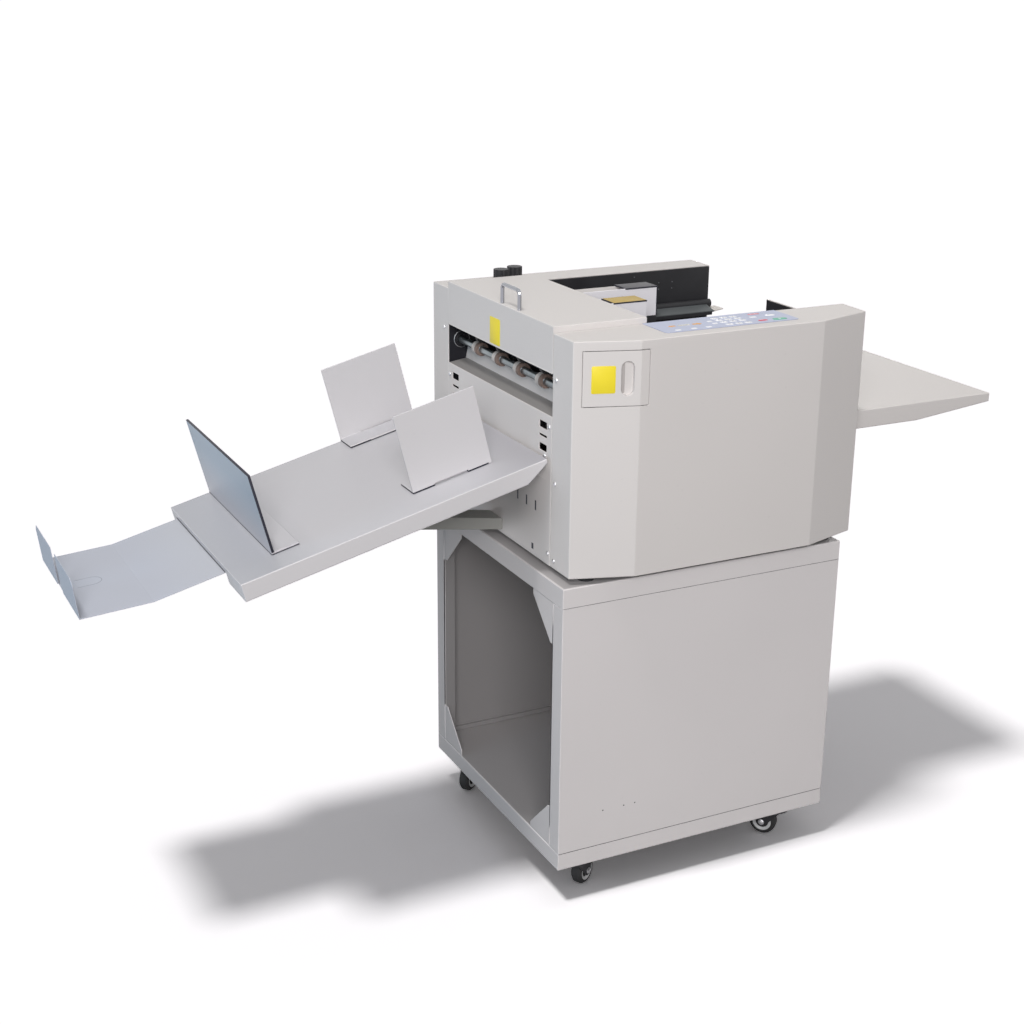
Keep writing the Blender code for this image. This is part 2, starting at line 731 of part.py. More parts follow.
def make_castors(parent):
    """Four swivelling castors, the two at the front with brakes."""
    for where, (x, y) in castor_places().items():
        swivel = axis_at("axis_castor_swivel_" + where, (x, y, CASTOR_HEIGHT), parent)
        braked = where.startswith("front")
        make_castor_fork(where, swivel, braked)
        make_castor_wheel(where, swivel)
        if braked:
            make_castor_brake(where, swivel)
        swivel.rotation_euler = (0, 0, math.radians(CASTORS[where][2]))


# Machine chassis

def make_machine_base(parent):
    """The floor plate, and four feet that stand it on the long rails of the stand."""
    low, high = MACHINE_BOTTOM, MACHINE_BOTTOM + BASE_THICK
    near = RAIL_WIDTH - FOOT_RADIUS - FOOT_RAIL_GAP
    far = STAND_DEPTH - near
    shape = block((BODY_LEFT + COVER_SHEET + FIT, near - FOOT_RADIUS / 2, low),
                  (BODY_RIGHT - SHELL_SHEET - FIT, far + FOOT_RADIUS + BASE_OVERHANG, high))
    piece("machine_base", shape, "steel", parent)
    left, right = BODY_LEFT + FOOT_INSET, BODY_RIGHT - FOOT_INSET
    for index, place in enumerate([(left, near), (right, near), (left, far), (right, far)], 1):
        foot = turned("Z", place, [(STAND_TOP + FIT, FOOT_RADIUS - FIT), (low - 2 * FIT, FOOT_RADIUS),
                                   (low - FIT, FOOT_RADIUS)])
        piece("rubber_foot_" + str(index), foot, "rubber", parent)


def shaft_bores():
    """Bores that both side frames share, as (x, z, radius)."""
    return [(EXIT_X, EXIT_TOP_Z, SHAFT_RADIUS), (EXIT_X, EXIT_LOW_Z, EXIT_SHAFT_RADIUS),
            (SLITTER_X, slitter_levels()[0], SLITTER_SHAFT_RADIUS),
            (SLITTER_X, slitter_levels()[1], SLITTER_SHAFT_RADIUS),
            (FEED_X, feed_roller_level(), SHAFT_RADIUS)]


def slitter_levels():
    middle = path_level(SLITTER_X)
    reach = BLADE_RADIUS - BLADE_OVERLAP / 2
    return middle + reach, middle - reach


def feed_roller_level():
    return DECK_TOP + FEED_ROLLER_PROUD - FEED_ROLLER_RADIUS


def make_side_frames(parent):
    left = BODY_LEFT + COVER_SHEET + FIT
    front_right = BODY_LEFT + COVER_BACK_LENGTH - COVER_SHEET - 2 * FIT
    rear_right = BODY_RIGHT - SHELL_SHEET - FIT
    for name, start, right in (("side_frame_front", FRAME_FRONT - FRAME_THICK, front_right),
                               ("side_frame_rear", FRAME_REAR, rear_right)):
        shape = block((left, start, FRAME_LOW), (right, start + FRAME_THICK, FRAME_TOP))
        bores = [rod("Y", (x, z), radius + RUNNING_FIT, start - OVERRUN, start + FRAME_THICK + OVERRUN)
                 for x, z, radius in shaft_bores()]
        if name == "side_frame_rear":
            bores.append(rod("Y", (MOTOR_X, MOTOR_Z), MOTOR_SHAFT_RADIUS + RUNNING_FIT,
                             start - OVERRUN, start + FRAME_THICK + OVERRUN))
        piece(name, cut(shape, *bores), "black_sheet", parent)


def make_delivery_end_plate(parent):
    """The folded sheet below the throat: its top edge runs in as the exit ledge."""
    front, rear = FRAME_FRONT + HOOD_SIDE_GAP, FRAME_REAR - HOOD_SIDE_GAP
    top = THROAT_LOW
    ledge_end = BODY_LEFT + LEDGE_DEPTH
    side = [(BODY_LEFT, MACHINE_BOTTOM), (BODY_LEFT, top), (ledge_end, top + LEDGE_RISE),
            (ledge_end + LIP_DEPTH, top + LEDGE_RISE + LIP_RISE)]
    outline = strip(side, -END_SHEET)
    shape = prism("Y", outline, front, rear)
    start, end = BODY_LEFT - OVERRUN, BODY_LEFT + END_SHEET + OVERRUN
    cutters = []
    for near in (front + HOOK_HOLE_SIDE, rear - HOOK_HOLE_SIDE - HOOK_HOLE_WIDTH):
        far = near + HOOK_HOLE_WIDTH
        for row in range(2):
            hole_z = MACHINE_BOTTOM + HOOK_HOLE_LEVEL - row * HOOK_PITCH
            slot_z = hole_z - HOOK_SLOT_DROP
            cutters.append(block((start, near, hole_z - HOOK_HOLE_HEIGHT / 2),
                                 (end, far, hole_z + HOOK_HOLE_HEIGHT / 2)))
            cutters.append(block((start, near, slot_z - HOOK_SLOT_HEIGHT / 2),
                                 (end, far, slot_z + HOOK_SLOT_HEIGHT / 2)))
    first = PATH_CENTRE - VENT_PITCH * (VENT_COUNT - 1) / 2
    vent_z = MACHINE_BOTTOM + VENT_LEVEL
    for index in range(VENT_COUNT):
        y = first + index * VENT_PITCH
        cutters.append(block((start, y - VENT_WIDTH / 2, vent_z - VENT_HEIGHT / 2),
                             (end, y + VENT_WIDTH / 2, vent_z + VENT_HEIGHT / 2)))
    keyhole = oblong((front + KEYHOLE_SIDE, MACHINE_BOTTOM + KEYHOLE_LEVEL), KEYHOLE_WIDTH, KEYHOLE_HEIGHT)
    cutters.append(prism("X", keyhole, start, end))
    piece("delivery_end_plate", cut(shape, *cutters), "light_paint", parent)


def make_feed_end_plate(parent):
    """Closes the feed end below the table."""
    front, rear = FRAME_FRONT + FIT, FRAME_REAR - FIT
    right = BODY_RIGHT - SHELL_SHEET - FIT
    high = TABLE_TOP - TABLE_DEEP_RIM - OVERRUN
    shape = block((right - END_SHEET, front, FRAME_LOW), (right, rear, high))
    piece("feed_end_plate", shape, "light_paint", parent)


def cover_line(back):
    """The front cover's outer line in plan, from its delivery end to its feed end."""
    left = BODY_LEFT
    return [(left, back), (left, COVER_CORNER_Y), (left + COVER_KNEE_LEFT, COVER_BELLY_Y),
            (left + COVER_KNEE_RIGHT, COVER_BELLY_Y), (left + COVER_RIGHT_LENGTH, COVER_CORNER_Y),
            (left + COVER_BACK_LENGTH, back)]


def door_box(grow):
    """The door's reach in x and z, grown by a gap on each side."""
    left = BODY_LEFT + DOOR_LEFT - grow
    right = BODY_LEFT + DOOR_LEFT + DOOR_WIDTH + grow
    low = MACHINE_BOTTOM + DOOR_BOTTOM - grow
    high = MACHINE_BOTTOM + DOOR_BOTTOM + DOOR_HEIGHT + grow
    return left, right, low, high


def make_front_cover(parent):
    back = FRAME_FRONT - FIT
    line = cover_line(back)
    shape = prism("Z", line, MACHINE_BOTTOM, COVER_TOP)
    inside = strip(line, COVER_SHEET)[len(line):]
    inside[0] = (inside[0][0], back + OVERRUN)
    inside[-1] = (inside[-1][0], back + OVERRUN)
    void = prism("Z", inside, MACHINE_BOTTOM - OVERRUN, COVER_TOP - COVER_SHEET)
    left, right, low, high = door_box(DOOR_GAP)
    opening = block((left, COVER_BELLY_Y - OVERRUN, low), (right, FRAME_FRONT - FRAME_THICK, high))
    notch = block((BODY_LEFT + COVER_SHEET, back - FRAME_THICK - FIT, MACHINE_BOTTOM),
                  (BODY_RIGHT - COVER_SHEET, back + OVERRUN, FRAME_TOP + FIT))
    grip = DOOR_PIN_REACH + FIT
    bores = [rod("Z", door_pin(), DOOR_PIN_RADIUS + DOOR_PIN_GAP, start, end, SMALL_SIDES)
             for start, end in ((low - grip, low + grip), (high - grip, high + grip))]
    piece("front_cover", cut(shape, void, opening, notch, *bores), "light_paint", parent)


def facet_point(along, depth):
    """A plan point on the cover's delivery-end facet, so far along it and so deep behind it."""
    start = Vector((BODY_LEFT, COVER_CORNER_Y))
    end = Vector((BODY_LEFT + COVER_KNEE_LEFT, COVER_BELLY_Y))
    run = (end - start).normalized()
    inward = Vector((-run.y, run.x))
    return start + run * along + inward * depth


def door_pin():
    """Plan place of the door's hinge pins, in the middle of the sheet near its left edge."""
    slant = math.hypot(COVER_KNEE_LEFT, COVER_BELLY_Y - COVER_CORNER_Y) / COVER_KNEE_LEFT
    return tuple(facet_point(DOOR_LEFT * slant + DOOR_PIN_INSET, COVER_SHEET / 2))


def make_access_door(parent):
    """A bent door that follows the cover, with a finger pocket and hinge pins at its left edge."""
    left, right, low, high = door_box(0)
    skin = prism("Z", strip(cover_line(FRAME_FRONT), COVER_SHEET), low, high)
    reach = block((left, COVER_BELLY_Y - OVERRUN, low), (right, COVER_CORNER_Y + OVERRUN, high))
    door = common(skin, reach)
    slant = math.hypot(COVER_KNEE_LEFT, COVER_BELLY_Y - COVER_CORNER_Y) / COVER_KNEE_LEFT
    centre = POCKET_FROM_LEFT + POCKET_WIDTH / 2 + DOOR_LEFT * slant
    level = (low + high) / 2
    turn = math.atan2(COVER_BELLY_Y - COVER_CORNER_Y, COVER_KNEE_LEFT)
    cup = pocket_shape(centre, level, POCKET_WALL, COVER_SHEET / 2, POCKET_DEPTH + POCKET_WALL, turn)
    hollow = pocket_shape(centre, level, 0, -OVERRUN, POCKET_DEPTH, turn)
    reach = DOOR_GAP + DOOR_PIN_REACH
    pins = [rod("Z", door_pin(), DOOR_PIN_RADIUS, start, end, SMALL_SIDES)
            for start, end in ((low - reach, low + reach), (high - reach, high + reach))]
    door = fuse(cut(fuse(door, cup), hollow), *pins)
    hinge = axis_at("axis_access_door", (*door_pin(), level), parent)
    piece("access_door", door, "light_paint", hinge)


def pocket_shape(centre, level, wall, start, depth, turn):
    """An oblong plug that stands square to the delivery-end facet."""
    outline = oblong((0, 0), POCKET_WIDTH + 2 * wall, POCKET_HEIGHT + 2 * wall)
    plug = prism("Y", outline, start, depth)
    origin = facet_point(centre, 0)
    plug.data.transform(Matrix.Translation((origin.x, origin.y, level)) @ Matrix.Rotation(turn, 4, "Z"))
    return plug


def make_control_panel(parent):
    left = BODY_LEFT + PANEL_LEFT
    rear = FRAME_FRONT - PANEL_BACK_GAP
    corner = PANEL_CORNER
    right, front = left + PANEL_LENGTH, rear - PANEL_DEPTH
    outline = [(left, rear), (left, front + corner), (left + corner, front), (right - corner, front),
               (right, front + corner), (right, rear)]
    shape = prism("Z", outline, COVER_TOP + FIT, COVER_TOP + FIT + PANEL_THICK)
    piece("control_panel", shape, "overlay", parent)


def make_control_board(parent):
    left = BODY_LEFT + BOARD_IN
    low = MACHINE_BOTTOM + BOARD_LEVEL
    back = FRAME_FRONT - FRAME_THICK - FIT
    face = back - BOARD_STAND_OFF
    shape = block((left, face - BOARD_THICK, low), (left + BOARD_LENGTH, face, low + BOARD_HEIGHT))
    posts = []
    for x in (left + BOARD_POST_INSET, left + BOARD_LENGTH - BOARD_POST_INSET):
        for z in (low + BOARD_POST_INSET, low + BOARD_HEIGHT - BOARD_POST_INSET):
            posts.append(rod("Y", (x, z), BOARD_POST_RADIUS, face - BOARD_THICK / 2, back, SMALL_SIDES))
    piece("control_board", fuse(shape, *posts), "board_green", parent)


def make_rear_cover(parent):
    front = FRAME_REAR + FIT
    inner_front = FRAME_REAR + FRAME_THICK + FIT
    shape = block((BODY_LEFT, front, MACHINE_BOTTOM), (BODY_RIGHT, REAR_BACK, REAR_TOP))
    void = block((BODY_LEFT + SHELL_SHEET, front - OVERRUN, MACHINE_BOTTOM - OVERRUN),
                 (BODY_RIGHT - SHELL_SHEET, REAR_BACK - SHELL_SHEET, REAR_TOP - SHELL_SHEET))
    holes = [rod("Z", (BODY_LEFT + x, FRAME_REAR + y), KNOB_STEM_RADIUS + RUNNING_FIT,
                 REAR_TOP - SHELL_SHEET - OVERRUN, REAR_TOP + OVERRUN)
             for x, y in KNOB_PLACES.values()]
    middle = (inner_front + REAR_BACK - SHELL_SHEET) / 2
    low = MACHINE_BOTTOM + INLET_LEVEL
    port = block((BODY_RIGHT - SHELL_SHEET - OVERRUN, middle - INLET_WIDTH / 2 - FIT, low - FIT),
                 (BODY_RIGHT + OVERRUN, middle + INLET_WIDTH / 2 + FIT, low + INLET_HEIGHT + FIT))
    piece("rear_cover", cut(shape, void, port, *holes), "light_paint", parent)


def make_power_inlet(parent):
    """A socket and a rocker switch in one housing, on the feed end of the rear cover."""
    middle = (FRAME_REAR + FRAME_THICK + FIT + REAR_BACK - SHELL_SHEET) / 2
    low = MACHINE_BOTTOM + INLET_LEVEL
    face = BODY_RIGHT + FIT + INLET_FLANGE_THICK
    flange = block((BODY_RIGHT + FIT, middle - INLET_WIDTH / 2 - INLET_FLANGE, low - INLET_FLANGE),
                   (face, middle + INLET_WIDTH / 2 + INLET_FLANGE, low + INLET_HEIGHT + INLET_FLANGE))
    body = block((face - INLET_DEPTH, middle - INLET_WIDTH / 2, low),
                 (face - INLET_FLANGE_THICK / 2, middle + INLET_WIDTH / 2, low + INLET_HEIGHT))
    socket_z = low + SOCKET_SHIFT
    socket = block((face - SOCKET_DEPTH, middle - SOCKET_WIDTH / 2, socket_z - SOCKET_HEIGHT / 2),
                   (face + OVERRUN, middle + SOCKET_WIDTH / 2, socket_z + SOCKET_HEIGHT / 2))
    switch_z = low + INLET_HEIGHT - ROCKER_SHIFT
    well = block((face - ROCKER_DEPTH - ROCKER_GAP, middle - ROCKER_WIDTH / 2 - FIT,
                  switch_z - ROCKER_HEIGHT / 2 - ROCKER_GAP),
                 (face + OVERRUN, middle + ROCKER_WIDTH / 2 + FIT,
                  switch_z + ROCKER_HEIGHT / 2 + ROCKER_GAP))
    pin_x = face - ROCKER_DEPTH / 2
    ear = ROCKER_WIDTH / 2 + ROCKER_PIN_RADIUS + FIT
    bore = rod("Y", (pin_x, switch_z), ROCKER_PIN_RADIUS + FIT, middle - ear, middle + ear, SMALL_SIDES)
    piece("power_inlet", cut(fuse(flange, body), socket, well, bore), "black_plastic", parent)

    hinge = axis_at("axis_power_switch", (pin_x, middle, switch_z), parent)
    half = ROCKER_HEIGHT / 2
    proud = ROCKER_DEPTH / 2
    side = [(pin_x - proud / 2, switch_z - half / 2), (pin_x + proud, switch_z - half),
            (pin_x + proud * math.cos(ROCKER_TILT), switch_z),
            (pin_x + proud + half * math.tan(ROCKER_TILT), switch_z + half),
            (pin_x - proud / 2, switch_z + half / 2)]
    rocker = prism("Y", side, middle - ROCKER_WIDTH / 2, middle + ROCKER_WIDTH / 2)
    pin = rod("Y", (pin_x, switch_z), ROCKER_PIN_RADIUS, middle - ear + FIT, middle + ear - FIT, SMALL_SIDES)
    piece("power_switch", fuse(rocker, pin), "black_plastic", hinge)


def make_knobs(parent):
    for name, (x, y) in KNOB_PLACES.items():
        centre = (BODY_LEFT + x, FRAME_REAR + y)
        low = REAR_TOP + FIT
        ribs = []
        for index in range(2 * KNOB_RIBS):
            radius = KNOB_RADIUS - (KNOB_RIB_DEPTH if index % 2 else 0)
            angle = math.pi * index / KNOB_RIBS
            ribs.append((centre[0] + radius * math.cos(angle), centre[1] + radius * math.sin(angle)))
        knob = prism("Z", ribs, low, low + KNOB_HEIGHT)
        stem = rod("Z", centre, KNOB_STEM_RADIUS, low - KNOB_STEM_LENGTH, low + KNOB_HEIGHT / 2, SMALL_SIDES)
        turn = axis_at("axis_" + name, (*centre, low), parent)
        piece(name, fuse(knob, stem), "black_plastic", turn)


def make_hood(parent):
    """The lid over the tools: an end face down to the throat, and a lip on its other sides."""
    front, rear = FRAME_FRONT + HOOD_SIDE_GAP, FRAME_REAR - HOOD_SIDE_GAP
    left, right = BODY_LEFT, BODY_LEFT + HOOD_LENGTH
    sheet = SHELL_SHEET
    skirt_low = HOOD_TOP - HOOD_SKIRT
    feed_low = HOOD_TOP - HOOD_FEED_SKIRT
    shape = block((left, front, THROAT_TOP), (right, rear, HOOD_TOP))
    void = block((left + sheet, front + sheet, THROAT_TOP - OVERRUN),
                 (right - sheet, rear - sheet, HOOD_TOP - sheet))
    sides = block((left + sheet, front - OVERRUN, THROAT_TOP - OVERRUN),
                  (right - sheet, rear + OVERRUN, skirt_low))
    feed = block((left + sheet, front - OVERRUN, THROAT_TOP - OVERRUN),
                 (right + OVERRUN, rear + OVERRUN, feed_low))
    hood = cut(shape, void, sides, feed)
    hinge_y = rear + FIT + HINGE_RADIUS
    hinge_z = REAR_TOP + FIT + HINGE_RADIUS
    hinge = axis_at("axis_hood", (left + HOOD_LENGTH / 2, hinge_y, hinge_z), parent)
    piece("hood", hood, "light_paint", hinge)

    barrel = rod("X", (hinge_y, hinge_z), HINGE_RADIUS, left + HINGE_END_GAP, right - HINGE_END_GAP,
                 SMALL_SIDES)
    leaf = block((left + HINGE_END_GAP, hinge_y, REAR_TOP + FIT),
                 (right - HINGE_END_GAP, hinge_y + HINGE_LEAF_WIDTH, REAR_TOP + FIT + HINGE_LEAF_THICK))
    piece("hood_hinge", fuse(barrel, leaf), "steel", parent)

    x = left + BAIL_INSET
    near, far = BAIL_CENTRE_Y - BAIL_SPAN / 2, BAIL_CENTRE_Y + BAIL_SPAN / 2
    foot = HOOD_TOP + FIT
    crown = HOOD_TOP + BAIL_HEIGHT - BAIL_RADIUS
    bend = crown - BAIL_CORNER
    line = [(near, foot)] + arc((near + BAIL_CORNER, bend), BAIL_CORNER, 180, 90, ARC_STEPS)
    line += arc((far - BAIL_CORNER, bend), BAIL_CORNER, 90, 0, ARC_STEPS) + [(far, foot)]
    bail = tube([(x, y, z) for y, z in line], BAIL_RADIUS)
    piece("hood_handle", bail, "chrome", hinge)


def tube(points, radius):
    curve = bpy.data.curves.new("tube", "CURVE")
    curve.dimensions = "3D"
    curve.bevel_depth = radius
    curve.bevel_resolution = 2
    curve.use_fill_caps = True
    spline = curve.splines.new("POLY")
    spline.points.add(len(points) - 1)
    for target, point in zip(spline.points, points):
        target.co = (*point, 1)
    carrier = bpy.data.objects.new("tube", curve)
    bpy.context.scene.collection.objects.link(carrier)
    bpy.context.view_layer.update()
    mesh = bpy.data.meshes.new_from_object(carrier.evaluated_get(bpy.context.evaluated_depsgraph_get()))
    bpy.data.objects.remove(carrier)
    bm = bmesh.new()
    bm.from_mesh(mesh)
    return from_bmesh(bm)


# Paper path

def roller_places():
    first = PATH_CENTRE + ROLLER_SHIFT - ROLLER_PITCH * (ROLLER_COUNT - 1) / 2
    return [first + ROLLER_PITCH * index for index in range(ROLLER_COUNT)]


def shaft_ends():
    """Where a shaft ends, past the outer faces of both side frames."""
    return FRAME_FRONT - FRAME_THICK - SHAFT_STUB, FRAME_REAR + FRAME_THICK + SHAFT_STUB


def make_exit_rollers(parent):
    """The lower shaft drives the sheet with four tyred rollers. The upper one presses it on them."""
    start, end = shaft_ends()
    low, top = [(start, EXIT_SHAFT_RADIUS)], [(start, SHAFT_RADIUS)]
    for y in roller_places():
        near, far = y - ROLLER_WIDTH / 2, y + ROLLER_WIDTH / 2
        low += [(near, EXIT_SHAFT_RADIUS), (near, EXIT_ROLLER_RADIUS), (far, EXIT_ROLLER_RADIUS),
                (far, COLLAR_RADIUS), (far + COLLAR_WIDTH, COLLAR_RADIUS),
                (far + COLLAR_WIDTH, EXIT_SHAFT_RADIUS)]
        top += [(near, SHAFT_RADIUS), (near, TOP_ROLLER_RADIUS), (far, TOP_ROLLER_RADIUS), (far, SHAFT_RADIUS)]
    low += pulley_profile(EXIT_SHAFT_RADIUS)
    top.append((end, SHAFT_RADIUS))
    for name, z, profile in (("exit_bottom_rollers", EXIT_LOW_Z, low), ("exit_top_rollers", EXIT_TOP_Z, top)):
        spin = axis_at("axis_" + name, (EXIT_X, PATH_CENTRE, z), parent)
        piece(name, turned("Y", (EXIT_X, z), profile), "steel", spin)


def pulley_profile(shaft_radius):
    """A flanged pulley's outline along its shaft, outside the rear side frame."""
    start = belt_start() - PULLEY_FLANGE_THICK - FIT
    first = start + PULLEY_FLANGE_THICK
    last = belt_start() + BELT_WIDTH + FIT
    return [(start, shaft_radius), (start, PULLEY_FLANGE_RADIUS), (first, PULLEY_FLANGE_RADIUS),
            (first, PULLEY_RADIUS), (last, PULLEY_RADIUS), (last, PULLEY_FLANGE_RADIUS),
            (last + PULLEY_FLANGE_THICK, PULLEY_FLANGE_RADIUS)]


def belt_start():
    return FRAME_REAR + FRAME_THICK + BELT_STAND_OFF


def make_slitter_shafts(parent):
    start, end = shaft_ends()
    step = BLADE_THICK + RUNNING_FIT
    for name, z, shift in (("slitter_top_shaft", slitter_levels()[0], 0),
                           ("slitter_bottom_shaft", slitter_levels()[1], step)):
        profile = [(start, SLITTER_SHAFT_RADIUS)]
        for y in (PATH_CENTRE - BLADE_SPREAD / 2 + shift, PATH_CENTRE + BLADE_SPREAD / 2 + shift):
            profile += [(y, SLITTER_SHAFT_RADIUS), (y, BLADE_RADIUS), (y + BLADE_THICK, BLADE_RADIUS),
                        (y + BLADE_THICK, SLITTER_SHAFT_RADIUS)]
        profile.append((end, SLITTER_SHAFT_RADIUS))
        spin = axis_at("axis_" + name, (SLITTER_X, PATH_CENTRE, z), parent)
        piece(name, turned("Y", (SLITTER_X, z), profile, WHEEL_SIDES), "steel", spin)


def make_crease_tools(parent):
    front, rear = FRAME_FRONT + RUNNING_FIT, FRAME_REAR - RUNNING_FIT
    level = path_level(CREASE_X)
    edge = level + CREASE_GAP
    half, tip = CREASE_BAR_THICK / 2, CREASE_EDGE_THICK / 2
    shoulder = edge + CREASE_EDGE_HEIGHT
    side = [(CREASE_X - tip, edge), (CREASE_X + tip, edge), (CREASE_X + tip, shoulder),
            (CREASE_X + half, shoulder), (CREASE_X + half, edge + CREASE_BAR_HEIGHT),
            (CREASE_X - half, edge + CREASE_BAR_HEIGHT), (CREASE_X - half, shoulder),
            (CREASE_X - tip, shoulder)]
    slide = axis_at("axis_crease_bar", (CREASE_X, PATH_CENTRE, edge), parent)
    piece("crease_bar", prism("Y", side, front, rear), "steel", slide)

    wide, groove = ANVIL_THICK / 2, ANVIL_GROOVE_WIDTH / 2
    floor = level - ANVIL_GROOVE_DEPTH
    low = level - ANVIL_HEIGHT
    bed = [(CREASE_X - wide, low), (CREASE_X + wide, low), (CREASE_X + wide, level),
           (CREASE_X + groove, level), (CREASE_X + groove, floor), (CREASE_X - groove, floor),
           (CREASE_X - groove, level), (CREASE_X - wide, level)]
    piece("crease_anvil", prism("Y", bed, front, rear), "steel", parent)


def feed_roller_places():
    half = FEED_ROLLER_SPREAD / 2
    return PATH_CENTRE - half, PATH_CENTRE + half


def make_feed_parts(parent):
    """The deck, the rollers that stand through it, and the bar that holds sheets back."""
    start, end = shaft_ends()
    z = feed_roller_level()
    profile = [(start, SHAFT_RADIUS)]
    for y in feed_roller_places():
        near, far = y - FEED_ROLLER_WIDTH / 2, y + FEED_ROLLER_WIDTH / 2
        profile += [(near, SHAFT_RADIUS), (near, FEED_ROLLER_RADIUS), (far, FEED_ROLLER_RADIUS),
                    (far, SHAFT_RADIUS)]
    profile.append((end, SHAFT_RADIUS))
    spin = axis_at("axis_feed_rollers", (FEED_X, PATH_CENTRE, z), parent)
    piece("feed_rollers", turned("Y", (FEED_X, z), profile), "rubber", spin)

    front, rear = FRAME_FRONT + RUNNING_FIT, FRAME_REAR - RUNNING_FIT
    left = BODY_LEFT + DECK_START
    right = left + DECK_LENGTH
    deck = block((left, front, DECK_TOP - DECK_SHEET), (right, rear, DECK_TOP))
    lip = block((right - DECK_SHEET, front, DECK_TOP - DECK_SKIRT), (right, rear, DECK_TOP - DECK_SHEET / 2))
    gap = FEED_ROLLER_RADIUS + ROLLER_SLOT_GAP
    side_gap = FEED_ROLLER_WIDTH / 2 + ROLLER_SLOT_GAP
    slots = [block((FEED_X - gap, y - side_gap, DECK_TOP - DECK_SHEET - OVERRUN),
                   (FEED_X + gap, y + side_gap, DECK_TOP + OVERRUN)) for y in feed_roller_places()]
    piece("feed_deck", cut(fuse(deck, lip), *slots), "black_sheet", parent)

    low = DECK_TOP + FEED_ROLLER_PROUD + SEPARATOR_GAP
    half = SEPARATOR_THICK / 2
    bar = block((FEED_X - half, front, low + SEPARATOR_THICK / 2),
                (FEED_X + half, rear, low + SEPARATOR_HEIGHT))
    nose = block((FEED_X - half / 2, PATH_CENTRE - SEPARATOR_NOSE / 2, low),
                 (FEED_X + half / 2, PATH_CENTRE + SEPARATOR_NOSE / 2, low + SEPARATOR_THICK))
    piece("separator_bar", fuse(bar, nose), "black_sheet", parent)


def make_drive(parent):
    back = FRAME_REAR - FIT
    motor = turned("Y", (MOTOR_X, MOTOR_Z), [(back - MOTOR_LENGTH, MOTOR_RADIUS),
                                             (back - MOTOR_FLANGE, MOTOR_RADIUS),
                                             (back - MOTOR_FLANGE, MOTOR_FLANGE_RADIUS),
                                             (back, MOTOR_FLANGE_RADIUS)])
    piece("drive_motor", motor, "steel", parent)

    profile = [(back + FIT, MOTOR_SHAFT_RADIUS)] + pulley_profile(MOTOR_SHAFT_RADIUS)
    spin = axis_at("axis_motor_pulley", (MOTOR_X, belt_start(), MOTOR_Z), parent)
    piece("motor_pulley", turned("Y", (MOTOR_X, MOTOR_Z), profile), "steel", spin)

    inner = PULLEY_RADIUS + FIT
    outer = inner + BELT_THICK
    belt = prism("Y", belt_outline(outer), belt_start(), belt_start() + BELT_WIDTH)
    void = prism("Y", belt_outline(inner), belt_start() - OVERRUN, belt_start() + BELT_WIDTH + OVERRUN)
    piece("drive_belt", cut(belt, void), "rubber", parent)


def belt_outline(radius):
    """A loop round the motor's pulley and the lower exit shaft's pulley."""
    heading = math.degrees(math.atan2(EXIT_LOW_Z - MOTOR_Z, EXIT_X - MOTOR_X))
    steps = ROUND_SIDES // 2
    low = arc((MOTOR_X, MOTOR_Z), radius, heading + 90, heading + 270, steps)
    high = arc((EXIT_X, EXIT_LOW_Z), radius, heading - 90, heading + 90, steps)
    return low + high


def make_power_supply(parent):
    left = BODY_LEFT + SUPPLY_IN
    low = MACHINE_BOTTOM + BASE_THICK + FIT
    shape = block((left, PATH_CENTRE - SUPPLY_DEPTH / 2, low),
                  (left + SUPPLY_LENGTH, PATH_CENTRE + SUPPLY_DEPTH / 2, low + SUPPLY_HEIGHT))
    piece("power_supply", shape, "steel", parent)


# Feed well and table

def make_feed_well(parent):
    back = FRAME_REAR - FIT
    high = FRAME_TOP
    left = BODY_LEFT + LINER_START
    right = BODY_RIGHT - SHELL_SHEET - FIT
    liner = block((left, back - LINER_THICK, high - LINER_HEIGHT), (right, back, high))
    nose_z = high - LINER_HEIGHT + NOSE_RADIUS
    nose = rod("X", (back - NOSE_RADIUS, nose_z), NOSE_RADIUS, BODY_LEFT + NOSE_START, right)
    piece("feed_side_liner", fuse(liner, nose), "black_plastic", parent)

    start = BODY_LEFT + SHELF_START
    end = start + SHELF_LENGTH
    front = back - SHELF_DEPTH
    top = high - LINER_HEIGHT - FIT
    plan = [(start, back), (start, front), (end - SHELF_CHAMFER_LENGTH, front),
            (end, front + SHELF_CHAMFER_DEPTH), (end, back)]
    shelf = prism("Z", plan, top - SHELF_SHEET, top)
    lip = block((start, front, top - SHELF_LIP), (end - SHELF_CHAMFER_LENGTH, front + SHELF_SHEET, top))
    upright = block((start - SHELF_SHEET, front, top - SHELF_LIP),
                    (start - FIT / 2, back - LINER_THICK - FIT, top + SHELF_UPRIGHT))
    join = block((start - SHELF_SHEET, front, top - SHELF_SHEET),
                 (start + SHELF_SHEET, front + SHELF_LIP, top))
    piece("feed_side_shelf", fuse(shelf, lip, upright, join), "black_sheet", parent)


def make_feed_guides(parent):
    """Two upright plates that stand on the deck, each with its top edge folded back."""
    top = COVER_TOP - GUIDE_TOP_DROP
    left = BODY_LEFT + GUIDE_START
    low = DECK_TOP + FIT
    for name, sizes in FEED_GUIDES.items():
        face = PATH_CENTRE + sizes["shift"]
        right = BODY_LEFT + sizes["end"]
        plate = block((left, face, low), (right, face + GUIDE_SHEET, top))
        foot = block((left, face + GUIDE_SHEET / 2, low), (right, face + GUIDE_FOOT, low + GUIDE_SHEET))
        flange = block((BODY_LEFT + sizes["flange_start"], face + GUIDE_SHEET / 2, top - GUIDE_SHEET),
                       (right, face + sizes["flange_depth"], top))
        slide = axis_at("axis_" + name, (left, face, low), parent)
        piece(name, fuse(plate, foot, flange), "light_paint", slide)


